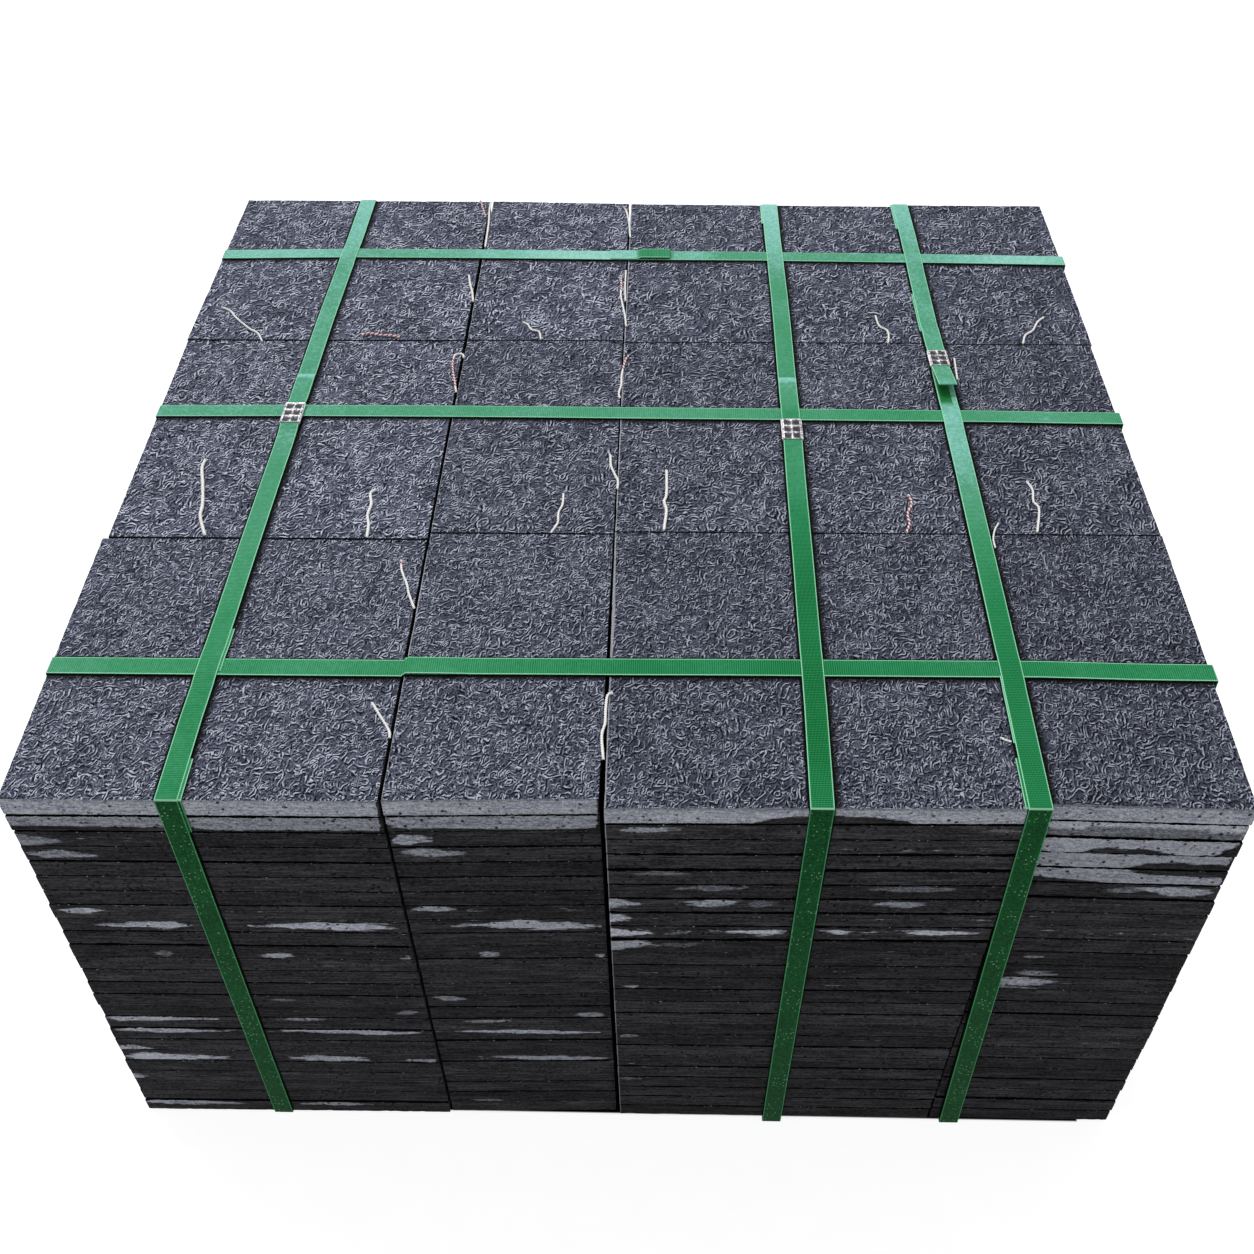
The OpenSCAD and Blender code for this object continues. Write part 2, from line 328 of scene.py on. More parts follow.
def curls(g, at, scale, lines):
    """Curling ridges along the contour lines of a noise. at is in mm, scale is the noise's, and
    lines is the number of contours from its lowest to its highest value. Gives how high the
    ridge is, from 0 to 1, and how much its slope faces the light, from -1 to 1."""
    here = g.noise(at, scale, 0.6)
    rises = []
    for step in ((PROBE, 0, 0), (0, PROBE, 0)):
        there = g.noise(g.vector("ADD", at, step), scale, 0.6)
        rises.append((there - here) * (lines / PROBE))
    slope = g.node("CombineXYZ", inputs=enumerate(rises))
    steep = g.math("MAXIMUM", g.vector("LENGTH", slope, out="Value"), FLATTEST)
    off = (g.math("FRACT", here * lines) - 0.5) / steep
    facing = g.vector("DOT_PRODUCT", slope, LIGHT_FROM, out="Value") / steep
    toward = off * facing
    lit = g.step(abs(toward - 0.45), 0.56, 0.08)
    dark = g.step(abs(toward + 0.70), 0.68, 0.1)
    return g.step(abs(off), 0.9, 0.1), lit - dark


def basalt_top():
    """Flamed top: worm-like ridges in painted light and shade, as if lit from the back left, dark
    pits in painted shade, painted shadow and highlights by the straps and arrises, and a few bright
    grains.
    """
    g = material("basalt_top")
    place = g.position(1000)
    mm = g.vector("SCALE", g.vector("MULTIPLY", place, (1, 0.76, 1)), Scale=g.point_value("fine"))
    broad_ridge, broad_light = curls(g, mm, 0.10, 6.5)
    fine_ridge, fine_light = curls(g, g.vector("ADD", mm, (57, 31, 9)), 0.18, 4.6)
    which = g.step(g.noise(g.vector("ADD", mm, (9, 80, 3)), 0.09, 1.0), 0.46, 0.52)
    ridge = g.scaled(which, 0, 1, fine_ridge, broad_ridge)
    light = g.scaled(which, 0, 1, fine_light, broad_light)
    # How strong the painted light and shade of the ridges is, more so towards the front
    strong = g.step(g.noise(g.vector("ADD", mm, (31, 5, 60)), 0.15, 2.0), 0.40, 0.62, 0.35, 1.2)
    strong = strong * g.scaled(g.node("SeparateXYZ", "Y", {0: place}), -450, 450, 1.1, 0.95)
    grain = g.noise(mm, 0.55, 2.0, 0.6)
    patches = g.noise(mm, 0.035, 2.0)
    # Painted light and shade: ridge slopes that face the back left lighter, the others darker, and
    # the crests brighter
    value = (light * 0.62 + ridge * 0.18) * strong + 0.345
    value = value + g.swing(grain, 0.17) + g.scaled(patches, 0.35, 0.65, -0.06, 0.06)
    g.colour = g.ramp(
        value,
        (0.0, 9, 10, 15), (0.20, 48, 51, 65), (0.40, 90, 94, 112), (0.65, 138, 143, 163),
        (1.0, 220, 226, 243),
    )
    # Dark pits: painted shade in small hollows of the top
    pits = g.step(g.cells(g.vector("ADD", mm, (40, 7, 0)), 0.17), 0.20, 0.12)
    g.paint(pits * 0.85, 14, 15, 19)
    # Painted shadow beside the straps, broken up by the grain
    stain = g.step(g.point_value("stain") + g.swing(grain, 0.35), 0.2, 0.8)
    g.paint(stain * 0.85, 22, 19, 22)
    # Painted highlight along the left arris of a top
    g.paint(g.step(g.point_value("rim"), 0.5, -0.2, 0.0, 0.8), 214, 218, 228)
    # Painted contact shadow along the straps' rims
    g.paint(g.step(g.point_value("gap"), 3.0, 1.3, 0.0, 0.95), 3, 9, 8)
    g.paint_tone()
    return g.finish(0.75, specular=0.05, Normal=g.bump(ridge + grain * 0.3, 0.6, 0.0008))


def basalt_side():
    """Sawn edge: near-black where it is damp, pale grey where the point value "pale" says so."""
    g = material("basalt_side")
    mm = g.position(1000)
    streaks = g.noise(g.position((28.0, 28.0, 620.0)), 1.0, 3.0, 0.6)
    grain = g.noise(mm, 0.9, 2.0)
    blotches = g.noise(g.position((22.0, 22.0, 90.0)))
    dark = g.ramp(
        streaks * 0.55 + blotches * 0.25 + grain * 0.20,
        (0.36, 18, 18, 20), (0.50, 43, 43, 45), (0.64, 76, 76, 80),
    )
    light = g.ramp(
        grain * 0.6 + streaks * 0.4,
        (0.36, 112, 117, 130), (0.50, 160, 165, 180), (0.64, 212, 217, 230),
    )
    edge = g.noise(g.position((70.0, 70.0, 420.0)), 1.0, 3.0, 0.6)
    pale = g.point_value("pale") + g.swing(edge, 0.35)
    pale = g.step(pale, -0.25, 0.15) * g.point_value("level")
    g.colour = g.mix(g.math("MINIMUM", pale, 1.0), dark, light)
    g.paint(g.step(pale, 0.95, 1.35, 0.0, 0.6), 240, 244, 252)
    # Dark pores: painted shade in the small hollows that the bump makes
    pores = g.step(g.cells(g.position((165.0, 165.0, 140.0))), 0.27, 0.21)
    pores = pores * g.step(g.noise(mm, 0.07, 1.0), 0.42, 0.50)
    g.paint(pores * 0.9, 12, 13, 15)
    dust = g.step(g.cells(g.position(260)), 0.12, 0.06) * g.step(g.noise(mm, 0.03), 0.5, 0.6)
    g.paint(dust * 0.3, 190, 190, 194)
    at_crack = g.point_value("crack")
    crumbs = g.noise(g.position((260.0, 260.0, 500.0)), 1.0, 2.0, 0.6)
    crack = at_crack + g.swing(crumbs, 0.45)
    # Painted highlight on the arrises beside a crack, strongest on pale stone
    g.paint(g.step(crack, -0.1, 0.3) * g.scaled(pale, 0, 1, 0.03, 0.55), 236, 238, 242)
    chips = g.step(g.cells(g.position(330)), 0.27, 0.15)
    g.paint(chips * (g.step(at_crack, 0.06, 0.5) * 0.8), 204, 204, 210)
    # Painted shade inside the cracks between layers and on the beds they show
    g.paint(g.step(crack, 0.35, 0.6), 5, 5, 6)
    # Painted highlight along the left arris of the third column's front faces
    g.paint(g.step(g.point_value("arris"), 1.1, 0.4, 0.0, 0.5), 196, 198, 206)
    # Painted contact shadow beside the straps on the front faces
    g.paint(g.step(g.point_value("gap"), 1.3, 0.5, 0.0, 0.92), 5, 8, 7)
    g.paint_tone()
    return g.finish(0.7, specular=0.02, Normal=g.bump(streaks * 0.6 - pores, 0.5, 0.0006))


# Length and half the width of one lozenge of the strap's hatch, and the strap's half width, in mm
HATCH_LONG = 1.6 * 2.2
HATCH_WIDE = 2.2
STRAP_HALF = 9.0


def strap_green():
    """Embossed plastic strap: fine cross-hatch, pale rims, painted sheen on top, and painted shade
    that makes it dark down the sides, which are speckled.
    """
    g = material("strap_green")
    mm = g.position(1000)
    across = g.point_value("across")
    side = g.point_value("side")
    u = across * (STRAP_HALF * 2 * math.pi / HATCH_WIDE)
    v = g.point_value("along") * (1000 * 2 * math.pi / HATCH_LONG)
    wear = g.noise(mm, 0.30, 3.0, 0.6)
    hatch = g.math("SINE", u + v) * g.math("SINE", u - v) * g.scaled(wear, *NOISE_RANGE, 1.5, 0.5)
    wash = g.noise(mm, 0.02, 4.0, 0.65)
    # Painted sheen from the table, with some wash and wear
    fade = g.point_value("fade") + g.swing(wash, 0.08) + g.swing(wear, 0.10)
    top = g.ramp(
        g.scaled(fade, -0.2, 1.3, 0, 1),
        (0.0, 0, 94, 34), (0.13, 2, 102, 46), (0.30, 30, 124, 74), (0.47, 66, 150, 106),
        (0.63, 94, 166, 136), (0.80, 140, 206, 194), (1.0, 176, 232, 226),
    )
    # The upright faces and the underside in darker green: painted shade
    down = g.ramp(wash, (0.35, 8, 72, 30), (0.65, 20, 98, 46))
    g.colour = g.mix(side, top, down)
    # The hatch's light and dark lozenges, in darker copies down the sides: painted shade
    g.paint(g.scaled(hatch, 0.0, 1, 0.0, 0.55), g.mix(side, srgb(96, 206, 146), srgb(60, 124, 84)))
    g.paint(g.scaled(hatch, 0.0, -1, 0.0, 0.60), g.mix(side, srgb(0, 74, 32), srgb(4, 46, 20)))
    # More painted shade down the sides
    g.paint(side * 0.4, 2, 40, 16)
    mottle = g.step(g.noise(mm, 0.45, 3.0, 0.6), 0.44, 0.60)
    g.paint(mottle * (side * 0.25), 40, 140, 70)
    # Pale rims, darker down the sides by painted shade
    rim = g.step(abs(across), 0.86, 0.95) * g.scaled(side, 0, 1, 0.85, 0.65)
    g.paint(rim, g.mix(side, srgb(164, 236, 196), srgb(100, 196, 130)))
    # Painted highlight along the folds where the strap turns over the top arrises
    g.paint(g.scaled(abs(side - 0.5), 0.35, 0.0, 0.0, 0.75), 176, 230, 200)
    # Painted shadow under the loose tail
    patch = g.step(abs(across + 0.2), 0.66, 0.60)
    g.paint(g.point_value("under") * patch, 2, 108, 14)
    specks = g.step(g.cells(mm, 0.28), 0.22, 0.12) * g.step(g.noise(mm, 0.04, 1.0), 0.38, 0.54)
    g.paint(specks * (side * 0.65), 190, 240, 200)
    # Painted shade on the strap's thin edge faces
    g.paint(g.step(abs(across), 0.988, 0.996) * 0.85, 4, 40, 20)
    return g.finish(0.4, specular=0.015, Normal=g.bump(hatch, 0.35, 0.0003))


def seal_steel():
    """Galvanised steel, bright on its ridges, with painted shade that darkens the crimps."""
    g = material("seal_steel")
    brushed = g.noise(g.position((1500.0, 180.0, 1500.0)), 1.0, 3.0)
    spots = g.swing(g.noise(g.position(1000), 0.45, 3.0), 0.2)
    # Darker where the crimps dip: painted shade in the hollows
    g.colour = g.ramp(
        brushed * 0.2 + spots + 0.5 - g.point_value("crimp") * 0.58,
        (0.08, 24, 22, 26), (0.34, 78, 78, 84), (0.52, 178, 176, 182), (0.68, 242, 240, 244),
    )
    return g.finish(0.42, Metallic=0.5, Normal=g.bump(brushed, 0.3, 0.0003))


def twine():
    """Soft white string; the point value "strand" is 1 where a strand is red."""
    g = material("twine")
    fibres = g.noise(g.position(1000), 1.6, 3.0)
    g.colour = g.mix(g.point_value("strand"), srgb(255, 254, 252), srgb(198, 98, 106))
    g.paint(g.scaled(fibres, *NOISE_RANGE, 0.0, 0.10), 160, 140, 130)
    return g.finish(0.9, specular=0.3, Normal=g.bump(fibres, 0.15, 0.0003))


STONE_TOP = basalt_top()
STONE_SIDE = basalt_side()
GREEN = strap_green()
STEEL = seal_steel()
TWINE = twine()


# ---------------------------------------------------------------- loose strings

# Diameter and route over the top of each string in millimetres, as in the part's source. The last
# point of a route is where the string comes out of a joint.
STRINGS = [
    (2.2, [(22, 667), (32, 660), (41, 647), (60, 626), (70, 618), (78, 603)]),
    (3.2, [(66, 403), (66, 390), (72, 368), (79, 338), (81, 321), (91, 296)]),
    (2.4, [(290, 898), (290, 877), (292, 844), (293, 794)]),
    (2.0, [(277, 902), (282, 882), (287, 862)]),
    (2.4, [(281, 733), (284, 715), (288, 699), (291, 680)]),
    (2.4, [(181, 615), (188, 618), (200, 615), (212, 614), (221, 611)]),
    (2.2, [(348, 640), (353, 636), (358, 626), (366, 622), (369, 608)]),
    (2.4, [(448, 886), (452, 871), (455, 847), (457, 816)]),
    (2.2, [(449, 733), (450, 709), (450, 691), (455, 655), (457, 633)]),
    (2.0, [(454, 744), (454, 712), (455, 682)]),
    (2.2, [
        (292, 574), (291, 579), (287, 581), (283, 579), (282, 574), (282, 563), (284, 549),
        (287, 535), (291, 514),
    ]),
    (2.2, [(461, 579), (458, 570), (455, 545), (455, 528), (453, 514), (454, 505)]),
    (2.4, [(448, 414), (449, 398), (453, 385), (456, 376), (456, 364)]),
    (2.2, [(407, 357), (407, 342), (404, 330), (404, 316), (399, 303)]),
    (2.8, [(501, 391), (501, 357), (499, 346), (501, 333), (499, 307)]),
    (2.2, [(271, 265), (273, 252), (280, 234), (283, 223), (290, 205)]),
    (2.2, [(271, 98), (277, 88), (288, 70), (290, 62)]),
    (2.4, [(460, 111), (456, 108), (455, 94), (455, 79), (453, 66), (455, 43)]),
    (2.2, [(720, 654), (722, 635), (729, 627), (730, 617), (728, 603)]),
    (2.2, [(896, 652), (888, 643), (880, 627), (871, 618), (866, 603)]),
    (2.0, [(792, 576), (791, 557), (790, 539)]),
    (2.2, [(721, 358), (722, 345), (717, 332), (717, 318), (713, 306)]),
    (2.2, [(831, 378), (834, 366), (832, 350), (835, 339), (828, 308)]),
    (1.6, [(796, 320), (791, 310), (788, 298), (788, 287)]),
    (2.8, [(234, 361), (230, 355), (233, 340), (232, 325), (235, 311), (236, 295)]),
    (1.8, [(757.5, 69), (761, 66.5), (765, 65)]),
]
STRING_NAMES = [f"string_{number:02d}" for number in range(1, len(STRINGS))] + ["string_stub"]
RED_STRINGS = {"string_04", "string_11", "string_22"}
# The share of its length over which one strand of a string is red, from its free end
RED_SHARE = {
    "string_04": (0.0, 1.0), "string_06": (0.0, 1.0), "string_08": (0.0, 0.12),
    "string_09": (0.0, 0.3), "string_11": (0.25, 0.9), "string_12": (0.0, 0.35),
    "string_16": (0.0, 0.1), "string_22": (0.0, 1.0),
}
NO_RED = (2, 2)
SHORTEST_CORD = 30 * MM
STRING_CLEAR = 0.1 * MM
STRING_POINTS = 33
# Points of a curve between two points of its route
CURVE_PARTS = 24

# A string is two twisted strands. How far they are from its middle and how thick they are, as
# shares of its radius. Their thickness varies from the least by up to the swell, over a length
PLY_OFF = 0.38
PLY_THICK = 0.66
PLY_LEAST = 0.9
PLY_SWELL = 0.25
PLY_VARIES = 4 * MM
PLY_PITCH = 5.0 * MM
PLY_SIDES = 6


def curve_through(points, count):
    """count evenly spaced points on a smooth curve through points, and the curve's length."""
    p = np.array(points, float)
    ends = np.vstack([2 * p[0] - p[1], p, 2 * p[-1] - p[-2]])
    fine = []
    for a, b, c, d in zip(ends, ends[1:], ends[2:], ends[3:]):
        for t in np.linspace(0, 1, CURVE_PARTS, endpoint=False):
            square = (2 * a - 5 * b + 4 * c - d) * t**2
            cube = (3 * b - a - 3 * c + d) * t**3
            fine.append(0.5 * (2 * b + (c - a) * t + square + cube))
    fine = np.array(fine + [p[-1]])
    reach = distances_along(fine)
    at = np.linspace(0, reach[-1], count)
    return np.column_stack([np.interp(at, reach, column) for column in fine.T]), reach[-1]


def around(path, turns):
    """Directions across path, turned by an angle from its side. turns has a row of angles for each
    point of path, or one row for all."""
    ahead = unit(np.gradient(path, axis=0))
    side = unit(np.cross(ahead, (0, 0, 1)))
    up = np.cross(side, ahead)
    return side[:, None] * np.cos(turns)[..., None] + up[:, None] * np.sin(turns)[..., None]


def tube(path, radius, sides):
    """Points and faces of a closed tube along path. radius has one number for each point."""
    ring = around(path, np.arange(sides) * 2 * math.pi / sides)
    verts = path[:, None] + ring * radius[:, None, None]
    return verts.reshape(-1, 3), swept_faces(sides, len(path))


def make_string(name, diameter, route):
    radius = diameter / 2 * MM
    flat = [(DATUM.x + x * MM, DATUM.y + y * MM, TOP_Z + STRING_CLEAR + radius) for x, y in route]
    centre, length = curve_through(flat, STRING_POINTS)
    fine, _ = curve_through(flat, STRING_POINTS * 3)
    along = np.linspace(0, length, len(fine))
    red_from, red_to = RED_SHARE.get(name, NO_RED)
    share = np.repeat(along / length, PLY_SIDES)
    red = (share >= red_from) & (share <= red_to)
    plies = []
    for ply in (0, 1):
        turn = along / PLY_PITCH * 2 * math.pi + ply * math.pi
        middle = fine + PLY_OFF * radius * around(fine, turn[:, None])[:, 0]
        uneven = PLY_LEAST + PLY_SWELL * noise(along / PLY_VARIES, ply * 9.0, len(route) + ply)
        plies.append((*tube(middle, PLY_THICK * radius * uneven, PLY_SIDES), [ply * red]))
    verts, faces, (strand,) = joined(plies)
    slot = "string_red" if name in RED_STRINGS else "string_white"
    piece = make_piece(
        name.replace("string", "twine"), name, slot, verts, faces, TWINE, strand=strand
    )
    if length >= SHORTEST_CORD:
        tuple(centre[-1])


for string_name, string in zip(STRING_NAMES, STRINGS):
    make_string(string_name, *string)


# ---------------------------------------------------------------- where the straps run

STRAP_T = 1.0 * MM
STRAP_W = 18.0 * MM

# Each strap has three tables, in millimetres along it from the stack's datum. The first says how
# far it bows to its right, or to the back, from the straight line: two entries at nearly one place
# make a step. The second is painted sheen: how pale its top is, from 0 for deep green to 100 for
# the palest.
# The third says where a second layer shows beside it: from and to, counted from the front arris
# and negative down the front face, and how far it is to the right. Straps called cross_ run from
# left to right, and the others from front to back
STRAPS = {
    "strap_left": (
        [(0, -0.8), (80, -2.7), (640, -2.8), (820, -0.4), (900, 0)],
        [
            (0, 36), (100, 38), (200, 50), (280, 60), (350, 67), (460, 72), (536, 74), (538, 115),
            (543, 115), (544, 74), (650, 78), (740, 82), (820, 100), (900, 110),
        ],
        [(-38, 40, 2.5), (131, 180, 2.5)],
    ),
    "strap_middle": (
        [(0, 0.1), (100, 1.7), (400, 2.6), (700, 2.2), (820, 0.5), (900, 0)],
        [
            (0, 18), (60, -5), (250, 5), (300, 18), (350, 38), (400, 50), (480, 45), (500, 60),
            (533, 85), (534, 115), (540, 115), (541, 60), (700, 64), (750, 84), (820, 105),
            (900, 120),
        ],
        [(850, 897, -2.2)],
    ),
    "strap_right": (
        [(0, 0.5), (100, 2), (400, 3), (560, 2.5), (640, 1), (820, 0.8), (900, 0)],
        [
            (0, 12), (150, 18), (210, 28), (300, 48), (350, 72), (400, 92), (430, 98), (490, 100),
            (540, 72), (650, 78), (820, 86), (860, 100), (900, 105),
        ],
        [(-1, 48, -2.3), (63, 132, -1.1), (625, 697, -1.8), (836, 892, -2.5)],
    ),
    "cross_strap_front": (
        [(0, -0.8), (290.3, -1.9), (290.4, 0.9), (440, 1.6), (800, 2), (870, 0.2), (936, -0.3)],
        [
            (0, 60), (120, 46), (250, 46), (320, 42), (420, 30), (470, 24), (570, 24), (620, 10),
            (670, 28), (770, 28), (936, 32),
        ],
        [],
    ),
    "cross_strap_middle": (
        [(0, 0), (150, 2.5), (300, 3), (500, 2.5), (800, 1.2), (870, 0.2), (936, -0.3)],
        [
            (0, 82), (120, 77), (270, 73), (420, 68), (520, 70), (620, 60), (700, 50), (800, 60),
            (870, 74), (936, 58),
        ],
        [],
    ),
    "cross_strap_back": (
        [(0, -2.5), (150, 2.3), (300, 3), (440, 2), (600, 2.8), (800, 1), (936, -1.2)],
        [
            (0, 103), (90, 103), (170, 78), (220, 82), (270, 92), (320, 98), (370, 115), (436, 125),
            (437, 110), (466, 110), (468, 40), (503, 45), (504, 95), (540, 95), (560, 68),
            (620, 75), (700, 74), (800, 86), (870, 115), (936, 112),
        ],
        [],
    ),
}
SLIVER_T = 0.6 * MM
SLIVER_STEP = 3
# Painted shadow, in dark green, under the loose tail of the third strap: from and to along it in
# mm, how strong it is, and how far it fades out before and after each end
TAIL_SHADOW = (499, 530)
TAIL_SHADOW_SHARE = 0.9
TAIL_SHADOW_SOFT = (4, 1)
# A band's points below this many thicknesses above the slabs belong to its lowest layer
LOWEST_LAYER = 1.6

FOLD = 0.9 * MM
FOLD_PARTS = 4
TOP_STEP = 5.0 * MM
FACE_STEP = 8.0 * MM
UNDER_STEPS = 24
# How far from a step of a bow its two stations are, in mm
STEP_STATIONS = (-0.1, 0.2)
# Corners of a strap within these distances count as one end, or as one face
END_REACH = 0.3 * MM
FACE_REACH = 0.5 * MM
# The straps are measured by rays. They start this far above the top for the upper side, this far
# below it for the lower side, and beside the middle, where an edge may run
RAY_ABOVE = 60 * MM
RAY_BELOW = 0.05 * MM
RAY_ASIDE = 0.13 * MM
# A strap's section: share of its half width, and of its thickness
SECTION = [
    (-1, 0), (-0.985, 0.38), (-0.93, 0.5), (-0.8, 0.5), (-0.4, 0.5), (0, 0.5), (0.4, 0.5),
    (0.8, 0.5), (0.93, 0.5), (0.985, 0.38), (1, 0), (0.985, -0.38), (0.93, -0.5), (0, -0.5),
    (-0.93, -0.5), (-0.985, -0.38),
]


class StrapLine:
    """Where a strap runs, read from its CAD node. run is 0 for a strap along X and 1 along Y."""

    def __init__(self, node):
        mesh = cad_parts[node].data
        corners = [v.co for v in mesh.vertices]
        self.tree = BVHTree.FromPolygons(corners, [p.vertices for p in mesh.polygons])
        self.run = 0 if node.startswith("cross") else 1
        self.datum = DATUM[self.run]
        bow, fade, self.slivers = STRAPS[node]
        self.bow = np.array(bow, float).T
        self.fade = np.array(fade, float).T / [[1], [100]]
        points = np.array(corners)
        self.foot = points[:, 2].min()
        crown = points[points[:, 2] > TOP_Z - FACE_REACH]
        base = points[points[:, 2] < self.foot + FACE_REACH]
        self.start, self.end = crown[:, self.run].min(), crown[:, self.run].max()
        self.low_start, self.low_end = base[:, self.run].min(), base[:, self.run].max()
        self.at_start = self.lateral_at(crown, self.start)
        self.at_end = self.lateral_at(crown, self.end)
        self.foot_start = self.lateral_at(base, self.low_start)

    def lateral_at(self, points, at):
        """Middle of the strap across its width, among the corners near a place along it."""
        near = points[np.abs(points[:, self.run] - at) < END_REACH][:, 1 - self.run]
        return (near.min() + near.max()) / 2

    def middle(self, at):
        share = (at - self.start) / (self.end - self.start)
        straight = self.at_start + (self.at_end - self.at_start) * share
        return straight + np.interp((at - self.datum) / MM, *self.bow) * MM

    def face_at(self, z):
        """Middle of the strap at height z of the front face."""
        share = (z - self.foot) / (TOP_Z + STRAP_T - self.foot)
        return self.foot_start + (float(self.middle(self.start)) - self.foot_start) * share

    def ray(self, at, z, way):
        origin = Vector((0, 0, z))
        origin[self.run] = at
        origin[1 - self.run] = float(self.middle(at)) + RAY_ASIDE
        hit = self.tree.ray_cast(origin, Vector((0, 0, way)))[0]
        return hit.z if hit else None

    def under(self, at):
        return self.ray(at, TOP_Z - RAY_BELOW, 1)

    def over(self, at):
        return self.ray(at, TOP_Z + RAY_ABOVE, -1)

    def stations(self):
        count = round((self.end - self.start - 4 * FOLD) / TOP_STEP)
        even = np.linspace(self.start + 2 * FOLD, self.end - 2 * FOLD, count + 1)
        steps = self.bow[0][:-1][np.diff(self.bow[0]) < 1]
        extra = [self.datum + (place + d) * MM for place in steps for d in STEP_STATIONS]
        return np.sort(np.concatenate([even, extra]))


def eased(places, values, reach):
    """values smoothed over reach along places, and never lower than they were."""
    values = np.asarray(values)
    smooth = [np.average(values, weights=np.exp(-(((places - p) / reach) ** 2))) for p in places]
    return np.maximum(values, smooth)


strap_lines = {name: StrapLine(name) for name in STRAPS}
front_straps = [line for line in strap_lines.values() if line.run == 1]

# How far the painted shadow reaches on a strap's shaded side, and on the other
SHADOW_WIDE = 10.0 * MM
SHADOW_THIN = 2.5 * MM
FAR_GAP = 20.0


def near_straps(verts):
    """Painted shadow on the top beside a strap, from 0 to 1 for each point: more so to its right,
    or in front of it, away from the light. Then how far each point is from the nearest strap's rim,
    in mm."""
    stain, gap = np.zeros(len(verts)), np.full(len(verts), FAR_GAP)
    for line in strap_lines.values():
        offset = verts[:, 1 - line.run] - line.middle(verts[:, line.run])
        reach = np.where((offset > 0) == (line.run == 1), SHADOW_WIDE, SHADOW_THIN)
        away = np.abs(offset) - STRAP_W / 2
        stain = np.maximum(stain, 1 - smoothstep(0, 1, away / reach))
        gap = np.minimum(gap, away / MM)
    return stain, gap


# How far the painted contact shadow beside a strap is moved to the right on the front faces, and
# how far under the strap it reaches in mm
RIM_SHIFT = 0.7 * MM
RIM_UNDER = -9


def strap_gap_on_front(x, z):
    """How far points of the front face are from the nearest strap's rim, in mm."""
    gaps = [np.abs(x - RIM_SHIFT - line.face_at(z)) - STRAP_W / 2 for line in front_straps]
    return np.clip(np.minimum.reduce(gaps) / MM, RIM_UNDER, FAR_GAP)


# ---------------------------------------------------------------- slabs

# Columns are counted from the left and rows from the front. Layers are counted from the top.
COLUMNS = 4
ROWS = 3
SIDE_LEVELS = (0, 0.055, 0.2, 0.4, 0.6, 0.8, 0.945, 1)
FRONT_STEP = 4.0 * MM
OUTER_STEP = 8.0 * MM
INNER_STEP = 60.0 * MM
RELIEF_STEP = 2.8 * MM
LEAST_STEPS = 8
LIP = 6.0 * MM
ARRIS_IN = 0.2 * MM
NEAR_CORNER = 1.6 * MM
RELIEF_DEPTH = 1.1 * MM
# How rough the side faces are, in mm, and how chipped the top layer's edges are, where 1 is as
# much as the others'
SAWN_ROUGH = 0.25
TOP_CHIPPED = 0.35
# Each use of a noise has seeds of its own, and the factors on the number of a layer only pick
# the line of the noise that it gets
SIDE_SEED, TOP_SEED, CRACK_SEED, TONE_SEED, WAVE_SEED = 100, 300, 77, 55, 91
# Corners of a CAD solid that are nearer than this are one point
SAME_POINT = 0.02 * MM
CORNER_DIGITS = 5
# How far the rim of a top is worn down, and how far in from its edge
RIM_WORN = 0.5 * MM
RIM_WIDE = 5 * MM

